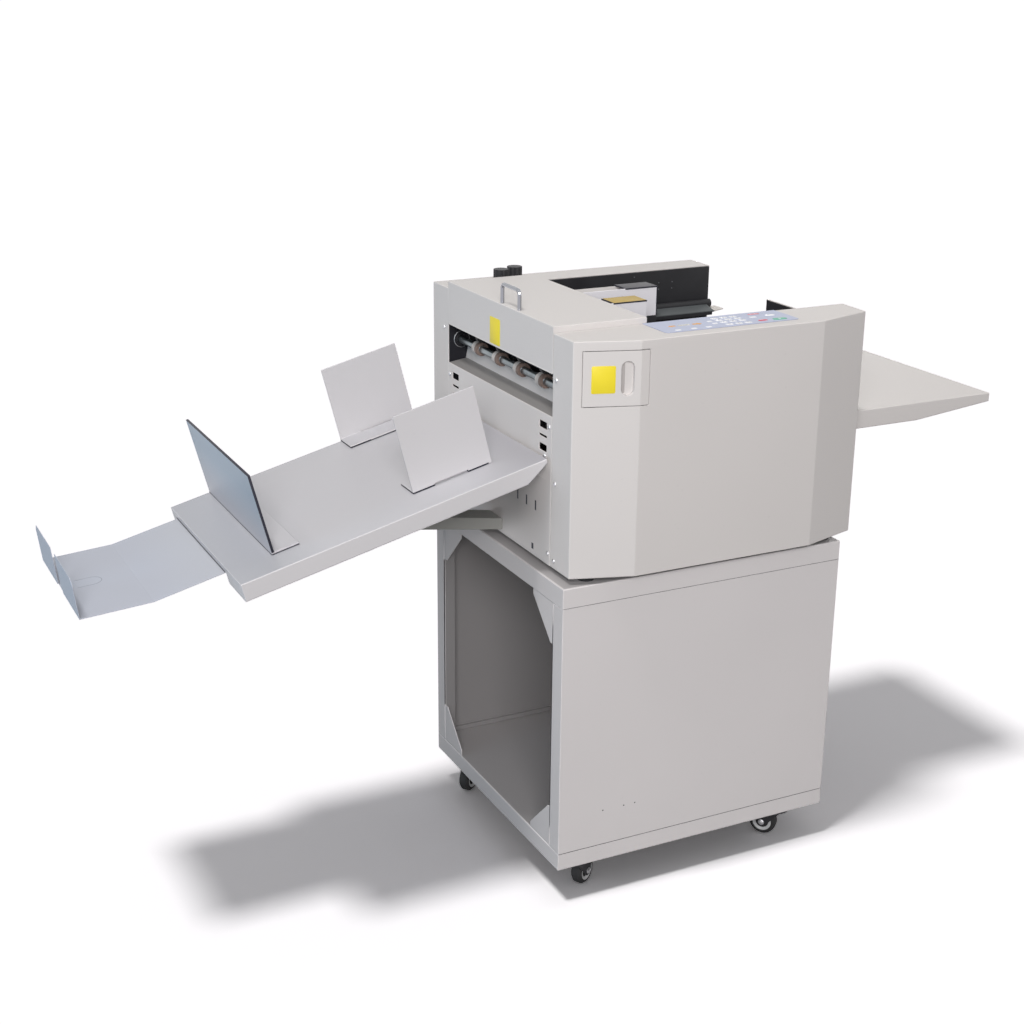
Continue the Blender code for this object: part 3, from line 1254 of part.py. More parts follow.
def make_feed_table(parent):
    """The lifting table: a wide outer panel, and a tongue that runs between the side frames."""
    start = TABLE_START
    top = TABLE_TOP
    front, rear = TABLE_FRONT, TABLE_REAR
    kink = TABLE_END - TABLE_KINK
    side = [(start, top - TABLE_DEEP_RIM), (kink, top - TABLE_DEEP_RIM), (TABLE_END, top - TABLE_RIM),
            (TABLE_END, top), (start, top)]
    panel = prism("Y", side, front, rear)
    deep, shallow = TABLE_DEEP_RIM + OVERRUN, TABLE_RIM + OVERRUN
    sheet = TABLE_SHEET
    inside = [(start + sheet, top - deep), (kink, top - deep), (TABLE_END - sheet, top - shallow),
              (TABLE_END - sheet, top - sheet), (start + sheet, top - sheet)]
    panel = cut(panel, prism("Y", inside, front + sheet, rear - sheet))
    near, far = FRAME_FRONT + RUNNING_FIT, FRAME_REAR - RUNNING_FIT
    tongue = block((start - TONGUE_LENGTH, near, top - TONGUE_RIM), (start + sheet / 2, far, top))
    hollow = block((start - TONGUE_LENGTH + sheet, near + sheet, top - TONGUE_RIM - OVERRUN),
                   (start - sheet, far - sheet, top - sheet))
    table = fuse(panel, cut(tongue, hollow))
    lift = axis_at("axis_feed_table", (start, PATH_CENTRE, top), parent)
    piece("feed_table", table, "light_paint", lift)

    low = top + FIT
    near = PATH_CENTRE - FEED_STOP_WIDTH / 2
    far = near + FEED_STOP_WIDTH
    upright = block((FEED_STOP_X, near, low), (FEED_STOP_X + PLATE_SHEET, far, low + PLATE_HEIGHT))
    foot = block((FEED_STOP_X + PLATE_SHEET / 2, near, low),
                 (FEED_STOP_X + STOP_FOOT, far, low + PLATE_SHEET + MAGNET_THICK))
    slide = axis_at("axis_feed_back_stop", (FEED_STOP_X, PATH_CENTRE, low), lift)
    piece("feed_back_stop", fuse(upright, foot), "black_sheet", slide)


# Delivery tray, in its own tilted frame: x runs up the slope, z stands square to the tray

def make_delivery_tray(frame):
    low, sheet = -TRAY_SKIRT, TRAY_SHEET
    far = -TRAY_LENGTH
    front, rear = TRAY_FRONT, TRAY_REAR
    side = [(far, low), (-TRAY_SLANT, low), (0, -TRAY_NOSE), (0, 0), (far, 0)]
    tray = prism("Y", side, front, rear)
    deep = low - OVERRUN
    inside = [(far + sheet, deep), (0, deep), (-sheet, -TRAY_NOSE), (-sheet, -sheet), (far + sheet, -sheet)]
    void = prism("Y", inside, front + sheet, rear - sheet)
    end_gap = block((far - OVERRUN, EXT_FRONT - FIT - sheet, deep),
                    (far + sheet + OVERRUN, EXT_FRONT + EXT_WIDTH + FIT + sheet, -EXT_DROP + FIT))
    tray = cut(tray, void, end_gap)

    floor = -EXT_DROP - EXT_SHEET - RUNNING_FIT
    extras = []
    run = (far + sheet + OVERRUN, far + EXT_INSIDE)
    for outer, edge, inward in ((EXT_FRONT - RUNNER_WIDTH, EXT_FRONT, 1),
                                (EXT_FRONT + EXT_WIDTH + RUNNER_WIDTH, EXT_FRONT + EXT_WIDTH, -1)):
        lip = edge + inward * RUNNER_LIP
        clear = edge - inward * RUNNING_FIT
        section = [(outer, -sheet / 2), (outer, floor - RUNNER_FLOOR), (lip, floor - RUNNER_FLOOR),
                   (lip, floor), (clear, floor), (clear, -EXT_DROP + RUNNING_FIT),
                   (lip, -EXT_DROP + RUNNING_FIT), (lip, -sheet / 2)]
        extras.append(prism("X", section, *run))
    rail_top = floor - RUNNER_FLOOR - RAIL_GAP
    rail_x = -RAIL_AT - RAIL_DEPTH
    extras.append(block((rail_x, front + sheet / 2, low), (-RAIL_AT, rear - sheet / 2, rail_top)))
    tray = fuse(tray, *extras)
    local_piece("delivery_tray", fuse(tray, *tray_tabs()), "tray_paint", frame)


def tray_tabs():
    """Two level tabs that hook into the slots of the delivery end plate."""
    tabs = []
    slot_z = MACHINE_BOTTOM + HOOK_HOLE_LEVEL - HOOK_PITCH - HOOK_SLOT_DROP
    inner = FRAME_FRONT + HOOD_SIDE_GAP + HOOK_HOLE_SIDE + (HOOK_HOLE_WIDTH - TAB_WIDTH) / 2
    outer = FRAME_REAR - HOOD_SIDE_GAP - HOOK_HOLE_SIDE - (HOOK_HOLE_WIDTH + TAB_WIDTH) / 2
    rise = slot_z - TRAY_Z
    centre = (math.sin(TRAY_ANGLE) * rise, math.cos(TRAY_ANGLE) * rise)
    for near in (inner, outer):
        tab = block((-TRAY_SHEET, near, -TAB_THICK / 2), (TAB_REACH, near + TAB_WIDTH, TAB_THICK / 2))
        level = Matrix.Rotation(TRAY_ANGLE, 4, "Y")
        tab.data.transform(Matrix.Translation((centre[0], 0, centre[1])) @ level)
        tabs.append(tab)
    return tabs


def make_tray_extension(frame):
    """A thin sliding sheet with a shallow bend, two leaning end flaps and a finger notch."""
    bend = -TRAY_LENGTH - EXT_OUTSIDE
    fall = TRAY_ANGLE - EXT_END_ANGLE
    end = (bend - EXT_END_LENGTH * math.cos(fall), -EXT_DROP + EXT_END_LENGTH * math.sin(fall))
    lean = math.pi / 2 + EXT_FLAP_LEAN - TRAY_ANGLE
    tip = (end[0] + EXT_FLAP_HEIGHT * math.cos(lean), end[1] + EXT_FLAP_HEIGHT * math.sin(lean))
    top = [(-TRAY_LENGTH + EXT_INSIDE - OVERRUN, -EXT_DROP), (bend, -EXT_DROP), end, tip]
    section = strip(top, EXT_SHEET)
    front, rear = EXT_FRONT, EXT_FRONT + EXT_WIDTH
    sheet = prism("Y", section, front, rear)
    middle = (front + rear) / 2
    deep = EXT_FLAP_HEIGHT + OVERRUN
    outside = min(tip[0], end[0]) - EXT_SHEET - OVERRUN
    inside = max(tip[0], end[0]) + EXT_SHEET + OVERRUN
    gap = block((outside, middle - EXT_FLAP_GAP / 2, end[1] + EXT_SHEET),
                (inside, middle + EXT_FLAP_GAP / 2, end[1] + deep))
    notch = rod("Z", (end[0], middle), EXT_NOTCH_RADIUS, end[1] - deep, end[1] + OVERRUN + EXT_SHEET)
    corners = []
    for side, inward in ((front, 1), (rear, -1)):
        out = side - inward * OVERRUN
        wedge = [(out, tip[1] + OVERRUN), (side + inward * EXT_FLAP_CHAMFER, tip[1] + OVERRUN),
                 (out, tip[1] - EXT_FLAP_CHAMFER)]
        corners.append(prism("X", wedge, outside, inside))
    local_piece("tray_extension", cut(sheet, gap, notch, *corners), "tray_paint", frame)


def make_end_stop(frame):
    x, low = -END_STOP_AT, FIT
    near, far = END_STOP_FRONT, END_STOP_REAR
    plate = block((x, near, low), (x + END_STOP_SHEET, far, PLATE_HEIGHT))
    foot = block((x + END_STOP_SHEET / 2, near, low), (x + END_STOP_FOOT, far, low + PLATE_SHEET + MAGNET_THICK))
    local_piece("end_stop", fuse(plate, foot), "tray_paint", frame)


def make_side_guide(name, face, inward, frame):
    """An upright plate along the tray. Its foot turns in under the pile, slotted along the fold."""
    start = -SIDE_PLATE_START - SIDE_PLATE_LENGTH
    end = -SIDE_PLATE_START
    low = FIT
    high = low + PLATE_SHEET + MAGNET_THICK
    inner = face + inward * PLATE_SHEET
    toe = face + inward * SIDE_PLATE_FOOT
    root = face + inward * PLATE_SHEET / 2
    plate = block((start, min(face, inner), low), (end, max(face, inner), PLATE_HEIGHT))
    foot = block((start, min(root, toe), low), (end, max(root, toe), high))
    slot_start = start + SIDE_SLOT_START
    outside, inside = face - inward * OVERRUN, inner + inward * SIDE_SLOT_WIDTH
    slot = block((slot_start, min(outside, inside), low - OVERRUN),
                 (slot_start + SIDE_SLOT_LENGTH, max(outside, inside), high))
    local_piece(name, cut(fuse(plate, foot), slot), "tray_paint", frame)


def make_tray_arm(parent):
    """A channel from the foot of the end plate up to the rail under the tray."""
    root = (BODY_LEFT - FIT, MACHINE_BOTTOM + ARM_LEVEL)
    along = Vector((-math.cos(TRAY_ANGLE), -math.sin(TRAY_ANGLE)))
    square = Vector((-math.sin(TRAY_ANGLE), math.cos(TRAY_ANGLE)))
    hold = Vector((TRAY_X, TRAY_Z)) + along * (RAIL_AT + RAIL_DEPTH / 2) - square * (TRAY_SKIRT + FIT)
    start = Vector(root)
    run = (hold - start).normalized()
    rise = Vector((run.y, -run.x)) if run.x < 0 else Vector((-run.y, run.x))
    half = ARM_HEIGHT / 2
    saddle = RAIL_DEPTH / 2
    tip_near, tip_far = hold - along * saddle, hold + along * saddle
    upper = start + rise * half
    lower = start - rise * half
    wall = Vector((0, half / abs(run.x)))
    side = [tuple(start - wall), tuple(start + wall), tuple(tip_near), tuple(tip_far),
            tuple(tip_far - rise * ARM_HEIGHT)]
    near, far = PATH_CENTRE - ARM_WIDTH / 2, PATH_CENTRE + ARM_WIDTH / 2
    arm = prism("Y", side, near, far)
    deep = ARM_HEIGHT * 2
    inner = [tuple(upper + run * ARM_SHEET * 2 - rise * ARM_SHEET),
             tuple(tip_near - rise * ARM_SHEET - run * ARM_SHEET * 2),
             tuple(tip_near - rise * deep - run * ARM_SHEET * 2),
             tuple(lower + run * ARM_SHEET * 2 - rise * deep)]
    hollow = prism("Y", inner, near + ARM_SHEET, far - ARM_SHEET)
    piece("tray_support_arm", cut(arm, hollow), "tray_paint", parent)


def make_tray(parent):
    frame = axis_at("axis_delivery_tray", (TRAY_X, 0, TRAY_Z), None, (0, -TRAY_ANGLE, 0))
    hang(frame, parent)
    make_delivery_tray(frame)
    make_tray_extension(frame)
    make_end_stop(frame)
    make_side_guide("side_guide_front", SIDE_FRONT_FACE, 1, frame)
    make_side_guide("side_guide_rear", SIDE_REAR_FACE, -1, frame)
    make_tray_arm(parent)


def centre_on_origin(assembly):
    """Moves the whole assembly so that its box stands centred on the origin."""
    bpy.context.view_layer.update()
    corners = [item.matrix_world @ Vector(corner) for item in bpy.data.objects if item.type == "MESH"
               for corner in item.bound_box]
    for index in range(2):
        values = [corner[index] for corner in corners]
        assembly.location[index] = -(min(values) + max(values)) / 2


def build():
    clear_scene()
    assembly = axis_at("assembly", (0, 0, 0), None)
    make_stand_base(assembly)
    make_stand_panel("stand_front_panel", False, assembly)
    make_stand_panel("stand_rear_panel", True, assembly)
    make_stand_top_frame(assembly)
    make_castors(assembly)
    make_machine_base(assembly)
    make_side_frames(assembly)
    make_delivery_end_plate(assembly)
    make_feed_end_plate(assembly)
    make_front_cover(assembly)
    make_access_door(assembly)
    make_control_panel(assembly)
    make_control_board(assembly)
    make_rear_cover(assembly)
    make_power_inlet(assembly)
    make_knobs(assembly)
    make_hood(assembly)
    make_exit_rollers(assembly)
    make_slitter_shafts(assembly)
    make_crease_tools(assembly)
    make_feed_parts(assembly)
    make_drive(assembly)
    make_power_supply(assembly)
    make_feed_well(assembly)
    make_feed_guides(assembly)
    make_feed_table(assembly)
    make_tray(assembly)
    centre_on_origin(assembly)


build()
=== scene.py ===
import math

import bmesh
import bpy
from mathutils import Matrix, Vector
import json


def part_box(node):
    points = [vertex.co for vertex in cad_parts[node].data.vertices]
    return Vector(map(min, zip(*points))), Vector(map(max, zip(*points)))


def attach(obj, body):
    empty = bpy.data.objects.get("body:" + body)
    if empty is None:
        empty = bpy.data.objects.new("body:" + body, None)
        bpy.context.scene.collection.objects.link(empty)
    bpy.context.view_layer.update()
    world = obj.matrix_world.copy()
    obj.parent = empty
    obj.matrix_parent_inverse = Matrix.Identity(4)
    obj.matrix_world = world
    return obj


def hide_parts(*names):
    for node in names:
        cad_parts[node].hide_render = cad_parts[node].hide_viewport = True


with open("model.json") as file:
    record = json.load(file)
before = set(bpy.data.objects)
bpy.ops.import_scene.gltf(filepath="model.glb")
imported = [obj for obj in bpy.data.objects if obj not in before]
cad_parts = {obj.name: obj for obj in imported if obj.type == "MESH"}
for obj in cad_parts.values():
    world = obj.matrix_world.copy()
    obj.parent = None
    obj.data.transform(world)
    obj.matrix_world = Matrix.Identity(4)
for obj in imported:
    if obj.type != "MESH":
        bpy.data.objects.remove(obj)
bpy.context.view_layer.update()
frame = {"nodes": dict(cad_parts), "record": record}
nodes = frame["nodes"]
bodyOf = {node: body for body, members in frame["record"]["behaviour"]["bodies"].items() for node in members}
slotOf = {name: item.material_slots[0].material.name for name, item in nodes.items()}
scene = bpy.context.scene
mm = 0.001
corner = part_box("stand_base")[0]
home = Vector((corner.x, corner.y, 0))                   # the stand's front delivery corner, on the floor
print("frame loaded,", len(nodes), "nodes")


def at(x, y, z):                                         # a place in mm from that corner
    return home + Vector((x, y, z)) * mm


def tone(red, green, blue):                              # a colour as a picture editor gives it
    return tuple(((v / 255 + 0.055) / 1.055) ** 2.4 for v in (red, green, blue))


def scaled(colour, amount):
    return tuple(min(1.0, v * amount) for v in colour)


# Camera and light

camera = {"place": (-1143.1, -2119.9, 1545.7), "lens": 56.93, "sensor": 36, "farthest": 200000,      # in mm
          "heading": 26.362, "down": 19.089, "roll": 0.471}              # in degrees


def makeCamera():
    data = bpy.data.cameras.new("camera")
    data.lens = camera["lens"]
    data.sensor_width = camera["sensor"]
    data.clip_end = camera["farthest"] * mm
    made = bpy.data.objects.new("camera", data)
    scene.collection.objects.link(made)
    turn = Matrix.Rotation(-math.radians(camera["heading"]), 4, "Z")
    turn = turn @ Matrix.Rotation(math.radians(90 - camera["down"]), 4, "X")
    turn = turn @ Matrix.Rotation(math.radians(camera["roll"]), 4, "Z")
    made.matrix_world = Matrix.Translation(at(*camera["place"])) @ turn
    scene.camera = made


lamps = {                                                # a far one and four soft boxes, placed in mm
    "overheadLamp": {"way": (0.31, 0.05, -1.0), "energy": 1.15, "spread": 9, "colour": (1.0, 0.985, 0.965)},
    "frontBox": {"place": (-1861, -3643, 2674), "aim": (300, 100, 750), "energy": 165, "size": 1.9,
                 "colour": (1.0, 0.985, 0.99)},
    "topBox": {"place": (700, 250, 2700), "aim": (650, 250, 900), "energy": 2.6, "size": 1.0,
               "colour": (1.0, 0.95, 0.86)},
    "backBox": {"place": (3000, 3500, 500), "aim": (300, 300, 600), "energy": 46, "size": 1.1,
                "colour": (1.0, 0.97, 0.95)},
    "deliveryBox": {"place": (-2600, 250, 760), "aim": (0, 280, 720), "energy": 11, "size": 1.2,
                    "colour": (0.48, 0.76, 1.0)},
}
skyLevel = 0.2                                           # the camera, mirrors and glass see full strength


def makeLamps():
    for name, lamp in lamps.items():
        far = "way" in lamp
        data = bpy.data.lights.new(name, "SUN" if far else "AREA")
        data.energy = lamp["energy"]
        data.color = lamp["colour"]
        made = bpy.data.objects.new(name, data)
        if far:
            data.angle = math.radians(lamp["spread"])
            way = Vector(lamp["way"])
        else:
            data.size = lamp["size"]
            made.location = at(*lamp["place"])
            way = at(*lamp["aim"]) - made.location
        made.rotation_euler = way.to_track_quat("-Z", "Y").to_euler()
        scene.collection.objects.link(made)


def makeSky():
    world = bpy.data.worlds.new("studio")
    scene.world = world
    world.use_nodes = True
    tree = world.node_tree
    shade = tree.nodes["Background"]
    shade.inputs["Color"].default_value = (1, 1, 1, 1)
    path = tree.nodes.new("ShaderNodeLightPath")
    seen = tree.nodes.new("ShaderNodeMath")
    clear = tree.nodes.new("ShaderNodeMath")
    seen.operation = clear.operation = "MAXIMUM"
    level = tree.nodes.new("ShaderNodeMapRange")
    level.inputs["To Min"].default_value = skyLevel
    tree.links.new(path.outputs["Is Camera Ray"], seen.inputs[0])
    tree.links.new(path.outputs["Is Glossy Ray"], seen.inputs[1])
    tree.links.new(seen.outputs[0], clear.inputs[0])
    tree.links.new(path.outputs["Is Transmission Ray"], clear.inputs[1])
    tree.links.new(clear.outputs[0], level.inputs["Value"])
    tree.links.new(level.outputs["Result"], shade.inputs["Strength"])
    scene.view_settings.view_transform = "Standard"


# Materials

class Wire:                                              # a socket that Python's operators work on
    def __init__(self, look, socket):
        self.look = look
        self.socket = socket

    def __add__(self, other):
        return self.look.maths("ADD", self, other)

    def __radd__(self, other):
        return self.look.maths("ADD", other, self)

    def __sub__(self, other):
        return self.look.maths("SUBTRACT", self, other)

    def __rsub__(self, other):
        return self.look.maths("SUBTRACT", other, self)

    def __mul__(self, other):
        return self.look.maths("MULTIPLY", self, other)

    def __rmul__(self, other):
        return self.look.maths("MULTIPLY", other, self)

    def __pow__(self, other):
        return self.look.maths("POWER", self, other)

    def __gt__(self, other):
        return self.look.maths("GREATER_THAN", self, other)

    def __lt__(self, other):
        return self.look.maths("LESS_THAN", self, other)


class Look:                                              # one material and the nodes that feed it
    def __init__(self, name, colour, roughness=0.5, metallic=0.0, gloss=0.5):
        self.material = bpy.data.materials.new(name)
        self.material.use_nodes = True
        self.tree = self.material.node_tree
        self.shader = self.tree.nodes["Principled BSDF"]
        self.colour = colour
        self.put("Base Color", (*colour, 1))
        self.put("Roughness", roughness)
        self.put("Metallic", metallic)
        self.put("Specular IOR Level", gloss)
        self.material.diffuse_color = (*colour, 1)
        self.place = self.node("ShaderNodeTexCoord", output="Object")

    def node(self, kind, settings=None, sockets=None, output=0):
        made = self.tree.nodes.new(kind)
        for name, value in (settings or {}).items():
            setattr(made, name, value)
        for name, value in (sockets or {}).items():
            self.feed(made.inputs[name], value)
        return Wire(self, made.outputs[output])

    def feed(self, socket, value):
        if isinstance(value, Wire):
            self.tree.links.new(value.socket, socket)
        else:
            socket.default_value = value

    def put(self, name, value):
        self.feed(self.shader.inputs[name], value)

    def maths(self, operation, first, second):
        return self.node("ShaderNodeMath", {"operation": operation}, {0: first, 1: second})

    def noise(self, scale, detail, stretch=(1, 1, 1)):
        place = self.node("ShaderNodeMapping", {}, {"Vector": self.place, "Scale": stretch})
        return self.node("ShaderNodeTexNoise", {}, {"Vector": place, "Scale": scale, "Detail": detail})

    def cells(self, scale):
        return self.node("ShaderNodeTexVoronoi", {}, {"Vector": self.place, "Scale": scale})

    def axis(self, letter):
        return self.node("ShaderNodeSeparateXYZ", {}, {0: self.place}, output=letter)

    def between(self, value, low, high):                 # 0 at low, 1 at high
        return self.node("ShaderNodeMapRange", {}, {"Value": value, "From Min": low, "From Max": high})

    def fade(self, letter, start, full):                 # 0 at one place in mm along an axis, 1 at the other
        origin = getattr(home, letter.lower())
        return self.between(self.axis(letter), origin + start * mm, origin + full * mm)

    def zigzag(self, value, length):                     # rises and falls again, each over a length in mm
        return self.maths("PINGPONG", value, length * mm)

    def tint(self, factor, first, second):
        first, second = (v if isinstance(v, Wire) else (*v, 1) for v in (first, second))
        return self.node("ShaderNodeMix", {"data_type": "RGBA"}, {0: factor, 6: first, 7: second}, output=2)

    def over(self, mask, colour):                        # another colour where the mask is 1
        below = Wire(self, self.shader.inputs["Base Color"].links[0].from_socket)
        self.put("Base Color", self.tint(mask, below, colour))

    def inside(self, letter, low, high):                 # 1 between two places in mm along an axis
        along = self.axis(letter) - getattr(home, letter.lower())
        return (along > low * mm) * (along < high * mm)

    def facing(self, letter, start, full):               # 0 to 1 as the surface turns along an axis
        normal = self.node("ShaderNodeNewGeometry", output="Normal")
        return self.between(self.node("ShaderNodeSeparateXYZ", {}, {0: normal}, output=letter), start, full)

    def bump(self, height, strength, depth):
        self.put("Normal", self.node("ShaderNodeBump", {}, {"Height": height, "Strength": strength,
                                                            "Distance": depth * mm}))

    def fromShaft(self, centre):                         # distance from a line along Y
        across = self.axis("X") - centre.x
        up = self.axis("Z") - centre.z
        return (across * across + up * up) ** 0.5


paints = {                                               # colour, roughness, depth of the orange peel
    "light_paint": (tone(214, 210, 208), 0.46, 0.05),
    "stand_paint": (tone(217, 213, 213), 0.50, 0.06),
    "tray_paint": (tone(207, 205, 207), 0.46, 0.05),
    # arm_paint is darker partly as the arm's own colour and partly as painted shade of the tray above it
    "arm_paint": (tone(148, 148, 144), 0.50, 0.05),
    "extension_paint": (tone(181, 185, 196), 0.44, 0.05),
    # stop_paint: its bluish tint is painted reflection of the blue light from the delivery end
    "stop_paint": (tone(166, 179, 191), 0.46, 0.05),
}


def paintLook(name, scuffed=0.0):
    colour, roughness, peelDepth = paints[name]
    look = Look(name + "Look", colour, roughness, gloss=0.42)
    drift = look.noise(2.2, 3)
    peel = look.noise(620, 2)
    grain = look.noise(2400, 1)
    shade = look.tint(look.between(drift, 0.35, 0.7), scaled(colour, 0.975), scaled(colour, 1.012))
    speck = look.between(look.noise(150, 2), 0.70, 0.76) * 0.25
    look.put("Base Color", look.tint(speck, shade, scaled(colour, 0.86)))
    rub = look.between(look.noise(9, 4, (1, 14, 14)), 0.60, 0.72) * scuffed
    look.put("Roughness", roughness + (peel - 0.5) * 0.16 + (drift - 0.5) * 0.10 - rub)
    look.bump(peel * 0.7 + grain * 0.3, 0.35, peelDepth)
    return look


deliveryTurn = (-0.5, -0.9)                              # how far a face is turned to the delivery end
standDustAndShade = {"dust": (160, 66), "shadeTowardsBack": (0, 500),        # where a change starts and is full, in mm
             "shades": [                                 # X, Y, Z, and how much of the colour is left
                 ((2.6, 543.4), (0.6, 503.4), (60, 546.8), 0.5),         # painted shade inside the cabinet
                 ((2.6, 543.4), (400, 503.4), (98, 546.8), 0.36),        # deeper painted shade at its back
                 ((4, 542), (4, 500), (576, 582), 0.62)]}                # painted shade on the top frame below the machine


def standLook():
    look = paintLook("stand_paint")
    dust = look.fade("Z", *standDustAndShade["dust"]) * look.between(look.noise(24, 4), 0.42, 0.68)
    look.over(dust * 0.12, scaled(look.colour, 0.8))
    turned = look.facing("X", *deliveryTurn)             # painted shade on faces turned to the delivery end, deeper away from the front
    look.over(turned, scaled(look.colour, 0.88))
    look.over(turned * look.fade("Y", *standDustAndShade["shadeTowardsBack"]), scaled(look.colour, 0.6))
    for across, along, up, level in standDustAndShade["shades"]:
        shade = look.inside("X", *across) * look.inside("Y", *along) * look.inside("Z", *up)
        look.over(shade, scaled(look.colour, level))
    return look


trayPaintedShade = {"top": (0.85, 0.95), "lowEnd": (-360, -450), "highEnd": (-120, 0)}


def trayLook():
    look = paintLook("tray_paint", 0.12)
    top = look.facing("Z", *trayPaintedShade["top"])
    look.over(top, tone(191, 190, 194))                  # painted shade on the top faces, deeper at both ends
    look.over(top * look.fade("X", *trayPaintedShade["lowEnd"]) * 0.5, tone(154, 156, 162))
    look.over(top * look.fade("X", *trayPaintedShade["highEnd"]) * 0.75, tone(162, 160, 165))
    return look


stopPaleFootAndLitTop = {"top": (0.7, 0.9), "foot": (760, 665)}


def stopLook():                                          # paler towards its foot, with painted light on its top faces
    look = paintLook("stop_paint")
    look.over(look.fade("Z", *stopPaleFootAndLitTop["foot"]) * 0.9, tone(198, 193, 196))
    look.over(look.facing("Z", *stopPaleFootAndLitTop["top"]), tone(190, 189, 193))
    return look


extensionFade = {"highEnd": (-600, -500)}


def extensionLook():                                     # painted shade with a blue tint on its upright flaps, which face the delivery end; paler towards its high end
    look = paintLook("extension_paint")
    look.over(look.fade("X", *extensionFade["highEnd"]) * 0.6, tone(189, 189, 192))
    look.over(look.facing("X", *deliveryTurn), tone(140, 154, 170))
    return look


endPlatePaintedShade = {"ledgeAcross": (18.4, 51.4), "ledgeUp": (843, 851.2), "shade": (560, 735),
                "shadeBack": (90, 200), "shadeUp": (600, 670)}


def endPlateLook():
    look = paintLook("light_paint")
    look.material.name = "endPlateLook"
    # the ledge under the hood gets painted shade
    ledge = look.inside("X", *endPlatePaintedShade["ledgeAcross"]) * look.inside("Z", *endPlatePaintedShade["ledgeUp"])
    look.over(ledge, scaled(look.colour, 0.4))
    below = look.fade("Y", *endPlatePaintedShade["shadeBack"]) * look.inside("Z", *endPlatePaintedShade["shade"])
    below = below * look.fade("Z", *endPlatePaintedShade["shadeUp"])
    look.over(below * 0.9, scaled(look.colour, 0.42))    # painted shade of the tray, deeper towards the back and up towards the tray
    return look


def plasticLook(name, colour, roughness=0.46, grain=0.06):
    look = Look(name, colour, roughness, gloss=0.35)
    fine = look.cells(1500)
    wide = look.noise(34, 3)
    look.put("Base Color", look.tint(look.between(wide, 0.3, 0.7), scaled(colour, 0.9), scaled(colour, 1.12)))
    look.put("Roughness", roughness + (wide - 0.5) * 0.14 + (fine - 0.4) * 0.08)
    look.bump(fine, 0.5, grain)
    return look


def blackSheetLook():
    look = Look("blackSheetLook", tone(40, 40, 44), 0.6, gloss=0.2)
    fine = look.noise(1300, 2)
    wear = look.between(look.noise(60, 5), 0.62, 0.72)
    look.put("Base Color", look.tint(wear * 0.35, tone(32, 32, 37), tone(54, 54, 59)))
    look.put("Roughness", 0.58 + (fine - 0.5) * 0.2 - wear * 0.1)
    look.bump(fine, 0.4, 0.05)
    return look


def metalLook(name, colour, roughness, stretch, depth=0.02):
    look = Look(name, colour, roughness, 1.0)
    line = look.noise(1.0, 3, stretch)
    cloud = look.noise(18, 3)
    look.put("Base Color", look.tint(look.between(cloud, 0.3, 0.7), scaled(colour, 0.86), colour))
    look.put("Roughness", roughness + (line - 0.5) * 0.22 + (cloud - 0.5) * 0.12)
    look.bump(line, 0.3, depth)
    return look


def zincLook():                                          # plated sheet with its faint flakes
    look = Look("zincLook", tone(176, 178, 180), 0.42, 1.0)
    flake = look.cells(90)
    cloud = look.noise(30, 4)
    look.put("Base Color", look.tint(look.between(flake, 0.1, 0.7), tone(150, 152, 154), tone(190, 191, 193)))
    look.put("Roughness", 0.34 + flake * 0.18 + (cloud - 0.5) * 0.1)
    look.bump(flake, 0.1, 0.02)
    return look


rollers = {"start": 146.75, "pitch": 82, "tyre": 8.6, "collar": 21.8, "topShaft": 5.2, "lowShaft": 6.9}


def rollerLook(name, node, shaft, gum):                  # satin shaft, nylon collars, rubber tyres
    low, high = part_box(node)
    centre = (low + high) / 2
    look = Look(name, tone(150, 152, 152), 0.3)
    outside = look.fromShaft(centre) > shaft * mm
    along = look.axis("Y") - home.y - rollers["start"] * mm
    step = look.maths("FLOORED_MODULO", along, rollers["pitch"] * mm)
    tyre = outside * (step < rollers["tyre"] * mm)
    collar = outside * (step < rollers["collar"] * mm)
    line = look.noise(1.0, 2, (30, 2600, 30))
    smear = look.noise(45, 4)
    steel = look.tint(smear, tone(118, 126, 130), tone(160, 168, 172))
    nylon = look.tint(look.between(smear, 0.4, 0.6), tone(176, 172, 168), tone(206, 200, 196))
    rubber = look.tint(look.between(smear, 0.35, 0.65), scaled(gum, 0.72), scaled(gum, 1.25))
    look.put("Base Color", look.tint(tyre, look.tint(collar, steel, nylon), rubber))
    look.put("Metallic", 1 - collar)
    look.put("Roughness", 0.3 + collar * 0.16 + tyre * 0.16 + (line - 0.5) * 0.12)
    look.bump(line, 0.25, 0.02)
    return look


def rubberLook(name, colour):
    look = Look(name, colour, 0.72, gloss=0.3)
    fine = look.noise(900, 3)
    dust = look.between(look.noise(50, 4), 0.45, 0.75)
    look.put("Base Color", look.tint(dust * 0.5, colour, scaled(colour, 2.2)))
    look.put("Roughness", 0.66 + fine * 0.16 + dust * 0.08)
    look.bump(fine, 0.5, 0.05)
    return look


def chromeLook():
    look = Look("chromeLook", tone(158, 160, 166), 0.1, 1.0)
    haze = look.noise(70, 4)
    hair = look.noise(1.0, 2, (1800, 60, 1800))
    look.put("Roughness", 0.06 + look.between(haze, 0.45, 0.75) * 0.08 + look.between(hair, 0.6, 0.8) * 0.06)
    look.bump(hair, 0.1, 0.01)
    return look


def filmLook(name, colour, roughness=0.36):              # printed film, with a faint dimple
    look = Look(name, colour, roughness, gloss=0.5)
    fine = look.cells(1100)
    slow = look.noise(40, 2)
    look.put("Base Color", look.tint(slow, scaled(colour, 0.97), scaled(colour, 1.03)))
    look.put("Roughness", roughness + fine * 0.1)
    look.bump(fine, 0.25, 0.03)
    return look


tracks = {"lane": 1.1, "laneWidth": 0.3, "rung": 1.5, "rungWidth": 0.35}             # in mm


